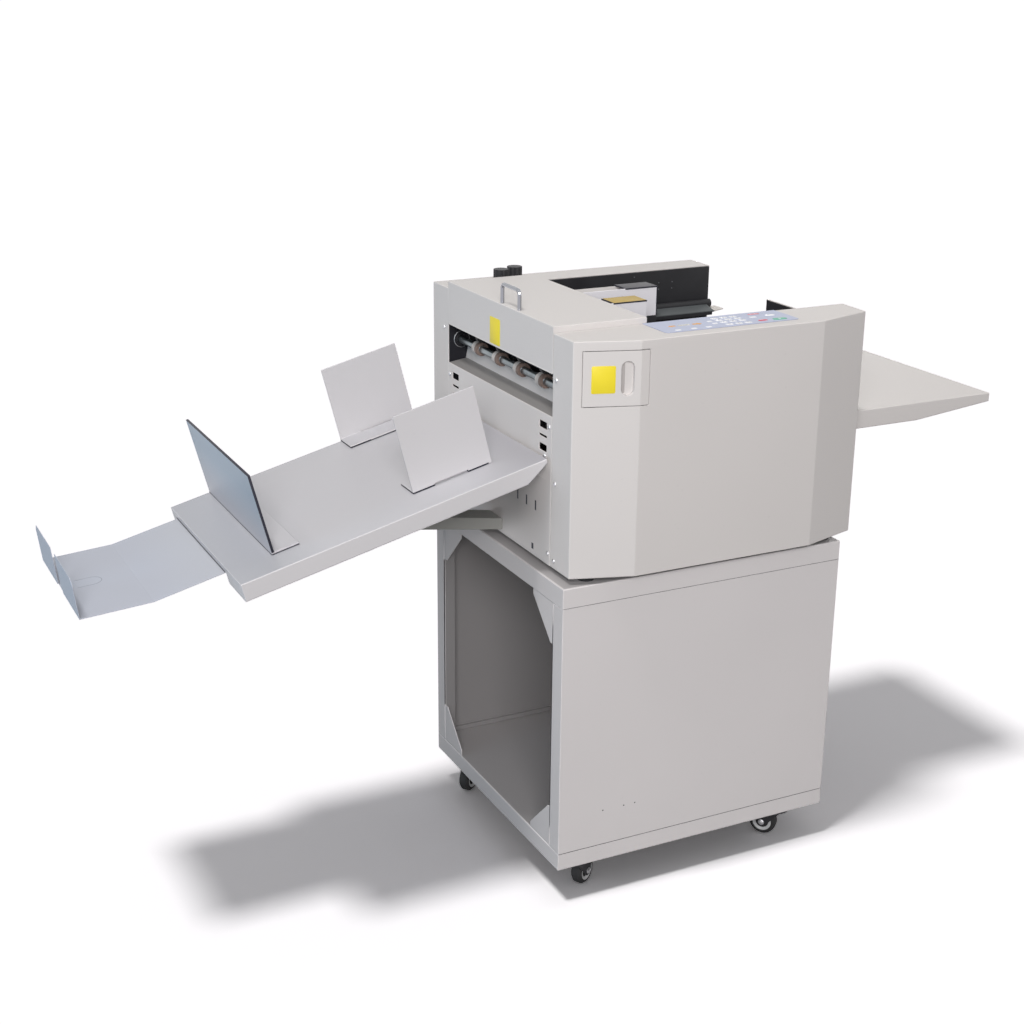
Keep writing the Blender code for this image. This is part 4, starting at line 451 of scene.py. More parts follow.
def boardLook():                                         # green lacquer over copper tracks
    look = Look("boardLook", tone(26, 92, 52), 0.32)
    lane = look.zigzag(look.axis("X") + look.noise(14, 0) * 0.01, tracks["lane"])
    rung = look.zigzag(look.axis("Z") + look.noise(17, 0) * 0.012, tracks["rung"])
    track = (lane < tracks["laneWidth"] * mm) * (look.noise(40, 0) > 0.5)
    track = track + (rung < tracks["rungWidth"] * mm) * (look.noise(31, 0) < 0.47)
    look.put("Base Color", look.tint(look.between(track, 0, 1) * 0.6, tone(22, 84, 46), tone(70, 134, 76)))
    look.put("Roughness", 0.34 - look.between(track, 0, 1) * 0.08)
    look.bump(track, 0.3, 0.03)
    return look


caseVents = {"pitch": 3.5, "radius": 1.9}                # in mm


def caseLook():                                          # folded aluminium with round vent holes, painted dark for the shade inside them
    look = Look("caseLook", tone(184, 186, 188), 0.36, 1.0)
    across = look.zigzag(look.axis("X"), caseVents["pitch"])
    along = look.zigzag(look.axis("Y"), caseVents["pitch"])
    hole = (across * across + along * along) < (caseVents["radius"] * mm) ** 2
    brush = look.noise(1.0, 2, (40, 1800, 40))
    look.put("Base Color", look.tint(hole, tone(184, 186, 188), tone(16, 16, 18)))
    look.put("Metallic", 1 - hole)
    look.put("Roughness", 0.3 + brush * 0.2 + hole * 0.3)
    look.bump(brush, 0.2, 0.02)
    return look


guideSplit = 927


def guideLook():                                         # light sheet, black below that level
    colour = tone(240, 238, 243)
    look = Look("guideLook", colour, 0.42)
    dark = look.axis("Z") < guideSplit * mm
    peel = look.noise(700, 2)
    look.put("Base Color", look.tint(dark, colour, tone(32, 32, 36)))
    look.put("Roughness", 0.4 + dark * 0.15 + (peel - 0.5) * 0.1)
    look.bump(peel, 0.25, 0.04)
    return look


shelf = {"top": (900.3, 908.6), "corner": (556, 600)}


def shelfLook():                                         # painted reflection: grey on top where the black wall is mirrored, light on its free corner where the white surroundings are
    look = plasticLook("shelfLook", tone(34, 34, 38), 0.5, 0.03)
    look.over(look.inside("Z", *shelf["top"]), tone(84, 88, 90))
    look.over(look.inside("X", *shelf["corner"]), tone(212, 207, 203))
    return look


evenGrain = (900, 900, 900)                              # of turned and pressed parts, the same each way
looks = {                                                # one for each material of the CAD nodes
    "light_paint": paintLook("light_paint"),
    "stand_paint": standLook(),
    "tray_paint": trayLook(),
    "black_plastic": plasticLook("blackPlasticLook", tone(34, 34, 37)),
    "black_sheet": blackSheetLook(),
    "steel": metalLook("steelLook", tone(190, 190, 192), 0.3, (60, 2200, 60)),
    "chrome": chromeLook(),
    "rubber": rubberLook("rubberLook", tone(40, 40, 41)),
    "overlay": filmLook("overlayLook", tone(181, 188, 212)),
    "board_green": boardLook(),
    "supply_case": caseLook(),
}
looks.update({                                           # and those of single nodes and of the added pieces
    "screw": metalLook("screwLook", tone(206, 206, 208), 0.34, evenGrain, 0.01),
    "stud": metalLook("studLook", tone(96, 98, 102), 0.4, evenGrain, 0.01),
    "shelf": shelfLook(),
    "guide": guideLook(),
    "extension": extensionLook(),
    "stop": stopLook(),
    "arm": paintLook("arm_paint"),
    "zinc": zincLook(),
    "endPlate": endPlateLook(),
    "pale": plasticLook("palePlasticLook", tone(188, 189, 190), 0.42, 0.03),
    "edge": plasticLook("edgeLook", tone(34, 34, 46), 0.5, 0.04),
    "yellow": filmLook("yellowFilmLook", tone(236, 216, 44), 0.34),
    "white": filmLook("whiteKeyLook", tone(240, 241, 245)),
    "orange": filmLook("orangeKeyLook", tone(222, 164, 88)),
    "red": filmLook("redKeyLook", tone(206, 58, 84)),
    "rose": filmLook("roseKeyLook", tone(214, 140, 150)),
    "green": filmLook("greenKeyLook", tone(92, 178, 150)),
    "strip": filmLook("stripLook", tone(208, 206, 196), 0.22),
    "figure": filmLook("figureLook", tone(58, 62, 82)),
    "amber": filmLook("amberFilmLook", tone(190, 164, 92), 0.55),
    "slate": filmLook("slateFilmLook", tone(90, 89, 93), 0.6),
    "pocket": filmLook("pocketShadowLook", tone(172, 167, 165), 0.5),
    "crease": filmLook("slotRimShadeLook", tone(146, 151, 162), 0.5),
    "exitTop": rollerLook("exitTopLook", "exit_top_rollers", rollers["topShaft"], tone(50, 48, 48)),
    "exitLow": rollerLook("exitLowLook", "exit_bottom_rollers", rollers["lowShaft"], tone(118, 101, 93)),
})
print("materials made,", len(looks))


# Shapes, in metres, each in its own frame until it is placed

def box(low, high, bevel=0.0, segments=2):
    low, high = Vector(low) * mm, Vector(high) * mm
    bm = bmesh.new()
    place = Matrix.Translation((low + high) / 2) @ Matrix.Diagonal((*(high - low), 1))
    bmesh.ops.create_cube(bm, size=1, matrix=place)
    if bevel:
        soften(bm, bm.edges, bevel, segments)
    return bm


def soften(bm, edges, width, segments=2):
    bmesh.ops.bevel(bm, geom=list(edges), offset=width * mm, offset_type="OFFSET", segments=segments,
                    profile=0.5, affect="EDGES", material=-1, clamp_overlap=True)


def roundedPlate(width, depth, thick, radius, rim=0.0):  # centred, standing on its own floor
    bm = box((-width / 2, -depth / 2, 0), (width / 2, depth / 2, thick))
    upright = [edge for edge in bm.edges if abs(edge.verts[0].co.z - edge.verts[1].co.z) > thick * mm / 2]
    soften(bm, upright, radius, 5)
    if rim:
        top = [edge for edge in bm.edges if all(vert.co.z > thick * mm * 0.9 for vert in edge.verts)
               and len([f for f in edge.link_faces if abs(f.normal.z) < 0.5]) == 1]
        soften(bm, top, rim, 2)
    return bm


def bar(radius, length, sides):                          # along +Z from its own origin
    bm = bmesh.new()
    bmesh.ops.create_cone(bm, cap_ends=True, segments=sides, radius1=radius * mm, radius2=radius * mm,
                          depth=length * mm, matrix=Matrix.Translation((0, 0, length * mm / 2)))
    return bm


weld = 0.001                                             # turned shapes merge their vertices within this


def spun(profile, sides, closed=False):                  # (radius, height) pairs turned about Z
    bm = bmesh.new()
    verts = [bm.verts.new((radius * mm, 0, height * mm)) for radius, height in profile]
    pairs = list(zip(verts, verts[1:])) + ([(verts[-1], verts[0])] if closed else [])
    edges = [bm.edges.new(pair) for pair in pairs]
    bmesh.ops.spin(bm, geom=verts + edges, cent=(0, 0, 0), axis=(0, 0, 1), angle=2 * math.pi,
                   steps=sides, use_merge=True)
    bmesh.ops.remove_doubles(bm, verts=bm.verts, dist=weld * mm)
    bmesh.ops.recalc_face_normals(bm, faces=bm.faces)
    return bm


def slab(outline, thick, rim=0.0):                       # a flat outline, thickened upwards
    bm = bmesh.new()
    face = bm.faces.new([bm.verts.new((x * mm, y * mm, 0)) for x, y in outline])
    grown = bmesh.ops.extrude_face_region(bm, geom=[face])
    raised = [item for item in grown["geom"] if isinstance(item, bmesh.types.BMVert)]
    bmesh.ops.translate(bm, verts=raised, vec=(0, 0, thick * mm))
    bmesh.ops.recalc_face_normals(bm, faces=bm.faces)
    if rim:
        soften(bm, [edge for edge in bm.edges if all(vert in raised for vert in edge.verts)], rim)
    return bm


panHead = {"profile": [(0, 0.45), (0.26, 0.62), (0.34, 0.98), (0.62, 0.90), (0.86, 0.66), (1.0, 0.30),
                       (1.0, -0.1)],
           "recess": (0.2, 0.4),                         # the rings that the cross is drawn from
           "cross": (1.55, 0.95, 0.62, 0.62, 0.62, 0.95)}                # their reach over a quarter turn


def screwHead(radius, height):                           # a pan head with a cross recess
    sides = 4 * len(panHead["cross"])
    bm = spun([(r * radius, h * height) for r, h in panHead["profile"]], sides)
    inner, outer = panHead["recess"]
    for vert in bm.verts:
        if inner < vert.co.xy.length / (radius * mm) < outer:
            step = round(math.degrees(math.atan2(vert.co.y, vert.co.x)) * sides / 360)
            reach = panHead["cross"][step % len(panHead["cross"])]
            vert.co.x *= reach
            vert.co.y *= reach
    return bm


def hexHead(radius, height, rim):
    bm = bar(radius, height, 6)
    soften(bm, [edge for edge in bm.edges if all(v.co.z > height * mm / 2 for v in edge.verts)], rim)
    return bm


def facing(place, direction, spin=0.0):                  # stands a shape's own Z along a direction
    turn = Vector(direction).to_track_quat("Z", "Y").to_matrix().to_4x4()
    return Matrix.Translation(place) @ turn @ Matrix.Rotation(math.radians(spin), 4, "Z")


def moved(x, y, z):
    return Matrix.Translation(Vector((x, y, z)) * mm)


def fromCorner(*shapes):                                 # drawn in mm from the stand's corner
    return [(shape, Matrix.Translation(home)) for shape in shapes]


def boxOf(size):                                         # from its two corners and the width of its bevel
    return box(size["low"], size["high"], size["rim"])


def join(target, shape, place):
    shape.transform(place)
    mesh = bpy.data.meshes.new("join")
    shape.to_mesh(mesh)
    shape.free()
    target.from_mesh(mesh)
    bpy.data.meshes.remove(mesh)


sharpFrom = 32                                           # degrees, from which an edge is drawn sharp


def piece(name, shapes, look, body):               # shapes with their places, as one object
    bm = bmesh.new()
    for shape, place in shapes:
        join(bm, shape, place)
    mesh = bpy.data.meshes.new(name)
    bm.to_mesh(mesh)
    bm.free()
    mesh.materials.append(looks[look].material)
    mesh.shade_smooth()
    mesh.set_sharp_from_angle(angle=math.radians(sharpFrom))
    made = bpy.data.objects.new(name, mesh)
    scene.collection.objects.link(made)
    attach(made, body)


# Folded sheets: the CAD shape again, with its bends and cut edges rounded

folded = {                                               # node: bend radius, cut edge radius in mm
    "front_cover": (1.8, 0.7), "rear_cover": (1.6, 0.6), "hood": (1.6, 0.6), "access_door": (0.5, 0.5),
    "delivery_end_plate": (0.9, 0.4), "feed_end_plate": (0.7, 0.5), "delivery_tray": (1.8, 0.6),
    "tray_extension": (0.5, 0.35), "end_stop": (0.9, 0.7), "side_guide_front": (0.9, 0.7),
    "side_guide_rear": (0.9, 0.7), "tray_support_arm": (1.2, 0.6), "feed_table": (1.8, 0.6),
    "feed_guide_front": (0.7, 0.5), "feed_guide_rear": (0.7, 0.5), "feed_back_stop": (0.9, 0.7),
    "stand_base": (1.5, 0.6), "stand_top_frame": (1.5, 0.6), "stand_front_panel": (1.5, 0.6),
    "stand_rear_panel": (1.5, 0.6), "feed_side_shelf": (0.6, 0.5),
}


sheetEdges = {"flat": 1, "slight": 8, "bend": 24,        # turns between two faces, in degrees
              "merge": 0.02, "narrow": 8, "creaseWidth": 5, "creaseLength": 8,           # in mm
              "creaseWeight": 0.6,                       # of the bend's own radius
              "segments": 3, "faceWeight": 90}


def roundSheet(name, bend, cutEdge):
    bm = bmesh.new()
    bm.from_mesh(nodes[name].data)
    bmesh.ops.remove_doubles(bm, verts=bm.verts, dist=sheetEdges["merge"] * mm)
    bmesh.ops.dissolve_limit(bm, angle_limit=math.radians(sheetEdges["flat"]), verts=bm.verts, edges=bm.edges)
    weight = bm.edges.layers.float.new("bevel_weight_edge")
    for edge in bm.edges:
        turn = math.degrees(edge.calc_face_angle(0))
        if turn > sheetEdges["slight"]:
            length = edge.calc_length()
            width = min(face.calc_area() / length for face in edge.link_faces)
            if turn > sheetEdges["bend"]:
                edge[weight] = 1.0 if width > sheetEdges["narrow"] * mm else cutEdge / bend
            elif width > sheetEdges["creaseWidth"] * mm and length > sheetEdges["creaseLength"] * mm:
                edge[weight] = sheetEdges["creaseWeight"]                # a shallow crease between flat faces
    for face in bm.faces:
        face.smooth = True
    bmesh.ops.connect_verts_concave(bm, faces=bm.faces)
    mesh = bpy.data.meshes.new(name + "Sheet")
    bm.to_mesh(mesh)
    bm.free()
    mesh.materials.append(nodes[name].material_slots[0].material)
    made = bpy.data.objects.new(name + "Sheet", mesh)
    scene.collection.objects.link(made)
    bevel = made.modifiers.new("Bevel", "BEVEL")
    bevel.limit_method = "WEIGHT"
    bevel.width = bend * mm
    bevel.segments = sheetEdges["segments"]
    bevel.use_clamp_overlap = False
    level = made.modifiers.new("Normals", "WEIGHTED_NORMAL")
    level.weight = sheetEdges["faceWeight"]
    level.keep_sharp = True
    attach(made, bodyOf[name])
    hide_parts(name)


ownLooks = {                                             # nodes whose look isn't their CAD material's
    "exit_top_rollers": "exitTop", "exit_bottom_rollers": "exitLow", "feed_guide_front": "guide",
    "feed_guide_rear": "guide", "machine_base": "zinc", "drive_motor": "zinc", "feed_side_shelf": "shelf",
    "tray_extension": "extension", "end_stop": "stop", "tray_support_arm": "arm",
    "delivery_end_plate": "endPlate",
}


def dressFrame():
    for name, node in nodes.items():
        look = looks[ownLooks.get(name, slotOf[name])]
        for slot in node.material_slots:
            slot.material = look.material
    for name, widths in folded.items():
        roundSheet(name, *widths)


# Fasteners on the machine

screws = {                                               # outward direction: places in mm
    (-1, 0, 0): [(17, y, z) for y, z in (
        (500.6, 906.6), (500.6, 738), (500.6, 606), (66.4, 909), (66.1, 737.6), (66.6, 605), (477, 825),
        (88.5, 827), (103, 775), (461, 775), (88, 611.6), (477, 611.6))],
    (1, 0, 0): [(566, 500.6, 906.6), (566, 500.6, 738), (575.3, 66.4, 909), (575.3, 66.4, 737.6),
                (575.3, 66.4, 605), (564, 100, 640), (564, 464, 640), (564, 100, 725), (564, 464, 725)],
    (0, 1, 0): [(x, 550, z) for x in (30, 210, 373, 553) for z in (604, 967)],
}
screwSize = {"radius": 3.8, "height": 2.5, "turn": 37}   # each cross is turned on by that many degrees


def makeScrews():
    shapes = []
    for direction, places in screws.items():
        for index, place in enumerate(places):
            head = screwHead(screwSize["radius"], screwSize["height"])
            shapes.append((head, facing(at(*place), direction, screwSize["turn"] * index)))
    piece("machineScrews", shapes, "screw", "machine")


# Painted shade in the openings, and the inlet's pins

rearVents = {"columns": (120, 166, 212, 258), "rows": 9, "lowest": 640, "pitch": 9, "face": 550.0,
             "width": 38, "height": 3.2, "thick": 0.15, "corner": 1.5}
endSlots = {"first": 133.75, "pitch": 33, "count": 10, "half": 2.6, "low": 672.3, "high": 689.5,
            "outside": 16.96, "inside": 18.9}
keyhole = {"low": (16.96, 139.3, 601.2), "high": (18.9, 146.7, 611.6), "rim": 0}
inletPins = {"places": ((-6.4, -1.6), (0, 2.2), (6.4, -1.6)), "middle": (517.65, 657.9), "inner": 553,
             "outer": 566, "halfWidth": 0.9, "halfHeight": 2, "rim": 0.5}


def makeOpenings():
    vents, slots, pins = rearVents, endSlots, inletPins
    # dark plates for the rear vents: painted shade of the openings
    plates = [(roundedPlate(vents["width"], vents["height"], vents["thick"], vents["corner"]),
               facing(at(x, vents["face"], vents["lowest"] + vents["pitch"] * row), (0, 1, 0)))
              for x in vents["columns"] for row in range(vents["rows"])]
    piece("rearVents", plates, "edge", "machine")
    # dark boxes in the end plate's slots and keyhole: painted shade
    middles = [slots["first"] + slots["pitch"] * index for index in range(slots["count"])]
    shades = [box((slots["outside"], y - slots["half"], slots["low"]),
                  (slots["inside"], y + slots["half"], slots["high"])) for y in middles]
    piece("slotShades", fromCorner(*shades, boxOf(keyhole)), "edge", "machine")
    bars = []
    for across, up in pins["places"]:
        y, z = pins["middle"][0] + across, pins["middle"][1] + up
        bars.append(box((pins["inner"], y - pins["halfWidth"], z - pins["halfHeight"]),
                        (pins["outer"], y + pins["halfWidth"], z + pins["halfHeight"]), pins["rim"]))
    piece("inletPins", fromCorner(*bars), "screw", "machine")


# Control panel

key = {"lift": 0.02, "rise": 0.45, "rim": 0.2}           # lift: how far its foot is above the overlay
keys = [                                                 # look, x, y, width, depth, corner radius
    ("white", 205, 14.4, 10, 6.5, 1.5), ("white", 234.6, 14.7, 10, 6.5, 1.5),
    ("white", 262.2, 14.4, 10, 6.5, 1.5), ("white", 284.7, 31.4, 9, 6.5, 1.5),
    ("white", 284.8, 48, 9, 6.5, 1.5), ("rose", 382, 66, 22, 6.5, 3.0),
    ("white", 368, 47, 12, 7.5, 1.5), ("white", 402, 48, 18, 8.5, 3.5),
    ("red", 370, 20.6, 17, 7.0, 3.2), ("green", 402, 19, 26, 12, 5.5),
    ("strip", 232, 41.4, 22, 6, 1.0),
]
keypad = {"columns": (303, 321, 339), "rows": (63, 48.5, 34, 17), "width": 12.5, "depth": 8.0, "corner": 1.8,
          "figures": "123456789C0*", "figureSize": 5.6, "figureRise": 0.04}
arrow = {"outline": [(-6.5, 0), (-1.5, -5), (-1.5, -2.6), (6, -2.6), (6, 2.6), (-1.5, 2.6), (-1.5, 5)],
         "places": [(209.8, 42, 0, (1, 1)), (256.5, 40.6, 180, (1.35, 1.15))],           # x, y, turn, stretch
         "rim": 0.15}
startMark = {"outline": [(-2.4, -3), (3, 0), (-2.4, 3)], "place": (402, 19), "rise": 0.1}


def figure(text):
    curve = bpy.data.curves.new("figure", "FONT")
    curve.body = text
    curve.size = keypad["figureSize"] * mm
    curve.align_x = "CENTER"
    curve.align_y = "CENTER"
    curve.extrude = keypad["figureRise"] * mm
    carrier = bpy.data.objects.new("figure", curve)
    scene.collection.objects.link(carrier)
    bpy.context.view_layer.update()
    mesh = bpy.data.meshes.new_from_object(carrier.evaluated_get(bpy.context.evaluated_depsgraph_get()))
    bpy.data.objects.remove(carrier)
    bm = bmesh.new()
    bm.from_mesh(mesh)
    return bm


def makeControls():
    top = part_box("control_panel")[1].z / mm + key["lift"]
    shapes, figures = {}, []

    def addKey(look, x, y, width, depth, radius):
        plate = roundedPlate(width, depth, key["rise"], radius, key["rim"])
        shapes.setdefault(look, []).append((plate, Matrix.Translation(at(x, y, top))))

    for row in keys:
        addKey(*row)
    for index, text in enumerate(keypad["figures"]):
        x, y = keypad["columns"][index % 3], keypad["rows"][index // 3]
        addKey("white", x, y, keypad["width"], keypad["depth"], keypad["corner"])
        figures.append((figure(text), Matrix.Translation(at(x, y, top + key["rise"]))))
    shapes["orange"] = []
    for x, y, turn, stretch in arrow["places"]:
        place = Matrix.Translation(at(x, y, top)) @ Matrix.Rotation(math.radians(turn), 4, "Z")
        place = place @ Matrix.Diagonal((*stretch, 1, 1))
        shapes["orange"].append((slab(arrow["outline"], key["rise"], arrow["rim"]), place))
    place = Matrix.Translation(at(*startMark["place"], top + key["rise"]))
    shapes["white"].append((slab(startMark["outline"], startMark["rise"]), place))
    for look, parts in shapes.items():
        piece(look + "Keys", parts, look, "machine")
    piece("keyFigures", figures, "figure", "machine")


# Plain stickers and a painted shadow in the door's pocket

facet = {"start": (17, 14), "run": (103, -33.1)}         # the front cover's slanted delivery end, from above
facetRun = Vector((*facet["run"], 0)).normalized()
facetOut = Vector((facetRun.y, -facetRun.x, 0))
facetSlant = math.hypot(*facet["run"]) / facet["run"][0]
sticker = {"thick": 0.25, "corner": 2.5, "rim": 0.1}
doorSticker = {"width": 36.5, "height": 44, "x": 63.2, "z": 920.5, "out": 0.02}
pocketShade = {"width": 6, "height": 51, "x": 93.8, "z": 921.6, "out": -7.8, "thick": 0.15, "corner": 2.9,
               "rim": 0.05}
hoodSticker = {"width": 39.5, "height": 45.5, "place": (16.98, 291.5, 941.6)}


def stickerFilm(width, height):
    return roundedPlate(width, height, sticker["thick"], sticker["corner"], sticker["rim"])


def onFacet(where):                                      # a place by its x and z on that slanted end
    corner = Vector((*facet["start"], 0))
    place = corner + facetRun * (where["x"] - corner.x) * facetSlant + facetOut * where["out"]
    turn = Matrix((facetRun, (0, 0, 1), facetOut)).transposed().to_4x4()
    return Matrix.Translation(at(place.x, place.y, where["z"])) @ turn


def makeStickers():
    door, pocket, hood = doorSticker, pocketShade, hoodSticker
    film = stickerFilm(door["width"] * facetSlant, door["height"])
    piece("doorSticker", [(film, onFacet(door))], "yellow", "access_door")
    # a dark film on the pocket's floor along its wall: painted shadow
    shade = roundedPlate(pocket["width"], pocket["height"], pocket["thick"], pocket["corner"], pocket["rim"])
    piece("pocketShade", [(shade, onFacet(pocket))], "pocket", "access_door")
    film = stickerFilm(hood["width"], hood["height"])
    piece("hoodSticker", [(film, facing(at(*hood["place"]), (-1, 0, 0)))], "yellow", "hood")


# Throat

throat = {"x": 41.5, "front": 80.5, "rear": 484, "lowShaft": 885.8, "lowBore": 7.2, "topShaft": 908.1,
          "topBore": 5.0}
bearingRing = {"radius": 15.5, "offCentre": 1.7, "sides": 48,            # profile: past the radius, height
               "profile": [(-1.3, 0), (-1.3, 1.1), (-1.0, 1.5), (-0.4, 1.5), (0, 1.1), (0, 0)]}
bush = {"sides": 28,                                     # profile: past the shaft's bore, height
        "profile": [(0, 0), (0, 2.4), (1.8, 2.4), (2.4, 1.8), (2.4, 0)]}
hoodHem = {"low": (16.6, 81.5, 915.4), "high": (18.9, 483, 917.2), "rim": 0.5, "segments": 3}
rearSeams = [{"low": (16.9, 482.7, low), "high": (18.4, 484.7, high), "rim": 0.2}
             for low, high in ((592.0, 845.0), (915.6, 979.6))]


def ringAround(radius, ring):
    return spun([(radius + past, height) for past, height in ring["profile"]], ring["sides"], True)


def makeThroat():
    rings, bushes = [], []
    x, low, top = throat["x"], throat["lowShaft"], throat["topShaft"]
    for y, direction in ((throat["rear"], (0, -1, 0)), (throat["front"], (0, 1, 0))):
        ring = ringAround(bearingRing["radius"], bearingRing)
        rings.append((ring, facing(at(x + bearingRing["offCentre"], y, low), direction)))
        for z, bore in ((low, throat["lowBore"]), (top, throat["topBore"])):
            bushes.append((ringAround(bore, bush), facing(at(x, y, z), direction)))
    piece("bearingRings", rings, "zinc", "machine")
    piece("shaftBushes", bushes, "black_plastic", "machine")
    hem = box(hoodHem["low"], hoodHem["high"], hoodHem["rim"], hoodHem["segments"])
    piece("hoodHem", fromCorner(hem), "light_paint", "hood")
    piece("rearSeam", fromCorner(*map(boxOf, rearSeams)), "light_paint", "machine")


# Feed well and guides

guideTop = 980.0
guides = {                                               # the top flange's corners, an upright's end
    "feed_guide_front": {"film": "amber", "low": (221, 248.5), "high": (287, 291.5), "upright": None},
    "feed_guide_rear": {"film": "slate", "low": (303, 350), "high": (369, 390), "upright": 369},
}
flangeBand = {"under": 2.3, "over": 0.15, "rim": 0.2,    # how far the edge bands go past the sheet's faces
              "frontLeft": 0.2, "frontOut": 0.3, "frontIn": 1.3,
              "sideOut": 0.3, "sideFrom": 1.0, "sideIn": 1.4}
uprightBand = {"in": 1.6, "out": 0.3, "front": 0.4, "back": 2.4, "over": 0.1, "rim": 0.3}
flangeFilm = {"fromBand": 1.8, "fromEdge": 0.6, "sunk": 0.1, "thick": 0.4, "corner": 1, "rim": 0.15}
guideWing = {"low": (195, 387.4, 902.4), "high": (366, 388.6, guideTop - 2.3), "rim": 0.3}
wellRamp = {"low": (0, 0, -1.2), "high": (131, 28, 0), "rim": 0.3, "place": (421.6, 441, 901.6), "tilt": 15}
wellStuds = {"radius": 1.4, "height": 0.7, "face": 480.95,
             "places": ((398, 970), (452, 955), (452, 943), (481, 955), (481, 943))}
backStopCap = {"low": (634.6, 175.6, 924.9), "high": (638.0, 388.9, 926.4), "rim": 0.4}


def guideBands(guide):
    (left, front), (right, back) = guide["low"], guide["high"]
    band, end = flangeBand, guide["upright"]
    under, over = guideTop - band["under"], guideTop + band["over"]
    frontLow = (left - band["frontLeft"], front - band["frontOut"], under)
    sideLow = (left - band["sideOut"], front + band["sideFrom"], under)
    bands = [box(frontLow, (right, front + band["frontIn"], over), band["rim"]),
             box(sideLow, (left + band["sideIn"], back, over), band["rim"])]
    if end:
        band = uprightBand
        bands.append(box((end - band["in"], front - band["front"], guideSplit),
                         (end + band["out"], front + band["back"], guideTop + band["over"]), band["rim"]))
    return bands


def guideFilm(guide):
    film = flangeFilm
    left, front = (v + film["fromBand"] for v in guide["low"])
    right, back = (v - film["fromEdge"] for v in guide["high"])
    plate = roundedPlate(right - left, back - front, film["thick"], film["corner"], film["rim"])
    return plate, Matrix.Translation(at((left + right) / 2, (front + back) / 2, guideTop - film["sunk"]))


def makeFeedDetails():
    for body, guide in guides.items():
        piece(body + "Trim", fromCorner(*guideBands(guide)), "edge", body)
        piece(body + "Film", [guideFilm(guide)], guide["film"], body)
    piece("guideWing", fromCorner(boxOf(guideWing)), "light_paint", "feed_guide_rear")
    tilt = Matrix.Rotation(math.radians(wellRamp["tilt"]), 4, "X")
    piece("wellRamp", [(boxOf(wellRamp), Matrix.Translation(at(*wellRamp["place"])) @ tilt)],
          "shelf", "machine")
    studs = []
    for x, z in wellStuds["places"]:
        head = screwHead(wellStuds["radius"], wellStuds["height"])
        studs.append((head, facing(at(x, wellStuds["face"], z), (0, -1, 0))))
    piece("wellStuds", studs, "stud", "machine")
    piece("backStopCap", fromCorner(boxOf(backStopCap)), "light_paint", "feed_back_stop")


# Delivery tray, in its own sloping frame: x up the slope, y across it, z off the sheet

tray = {"top": (10.8, 0, 776.1), "slope": 14.285}
trayFrame = Matrix.Translation(at(*tray["top"])) @ Matrix.Rotation(-math.radians(tray["slope"]), 4, "Y")
trayLip = {"low": (-533.1, 171.5, -11.0), "high": (-531.4, 450.5, -9.4), "rim": 0.2}
endStop = {"face": -461, "sheet": 3.4, "front": 139, "rear": 480, "toe": -415, "foot": 4.0, "top": 136.5,
           "magnetAhead": 0.25}
endStopBand = {"in": 0.3, "behind": 1.0, "over": 1.0, "ends": 0.4, "sides": 0.9, "rim": 0.2}
sideGuides = {"start": -211, "slotStart": -172, "slotEnd": -111, "end": -68, "blunt": 6, "toeStep": 8,
              "feet": {"side_guide_front": (150.5, 201.5), "side_guide_rear": (430, 481)}}
magnet = {"past": 0.3, "under": 0.35, "thin": 1.9, "thick": 2.7, "rim": 0.3}
slotCover = {"low": (-172.3, 479.2, 0.35), "high": (-110.7, 480.2, 4.4), "rim": 0.1}
extension = {"end": (-760.36, 311, 7.7), "slope": 9.785}                 # its outer end, in the tray's frame
extensionFrame = (trayFrame @ moved(*extension["end"])
                  @ Matrix.Rotation(math.radians(extension["slope"]), 4, "Y"))
extensionCover = {"low": (0.4, -22.5, -0.9), "high": (22.6, 22.5, -0.15), "rim": 0.1}
fingerSlot = {"start": 23, "arc": 48, "radius": 16, "half": 0.5, "under": -0.2, "over": 0.12, "arcBars": 12,
              "halfBar": 2.15}


def endStopEdge():                                       # bands along its top and down both ends
    band, foot, top = endStopBand, endStop["foot"], endStop["top"]
    near, far = endStop["face"] + band["in"], endStop["face"] + endStop["sheet"] + band["behind"]
    front, rear, over, side = endStop["front"], endStop["rear"], top + band["over"], top + band["sides"]
    corners = [((near, front - band["ends"], top - band["over"]), (far, rear + band["ends"], over)),
               ((near, front - band["sides"], foot), (far, front + band["ends"], side)),
               ((near, rear - band["ends"], foot), (far, rear + band["sides"], side))]
    return [(box(low, high, band["rim"]), trayFrame) for low, high in corners]


def slotOutline():                                       # the rim of the extension's finger slot
    start, arc, radius, half = (fingerSlot[name] for name in ("start", "arc", "radius", "half"))
    under, over, long = fingerSlot["under"], fingerSlot["over"], fingerSlot["halfBar"]
    rim = [(box((start, side - half, under), (arc, side + half, over)), extensionFrame)
           for side in (-radius, radius)]
    for step in range(fingerSlot["arcBars"]):
        turn = Matrix.Rotation(math.pi * ((step + 0.5) / fingerSlot["arcBars"] - 0.5), 4, "Z")
        rim.append((box((radius - half, -long, under), (radius + half, long, over)),
                    extensionFrame @ moved(arc, 0, 0) @ turn))
    return rim


def magnetSheet(start, end, low, high, thick):           # a dark sheet under a foot
    return box((start, low, magnet["under"]), (end, high, thick), magnet["rim"]), trayFrame


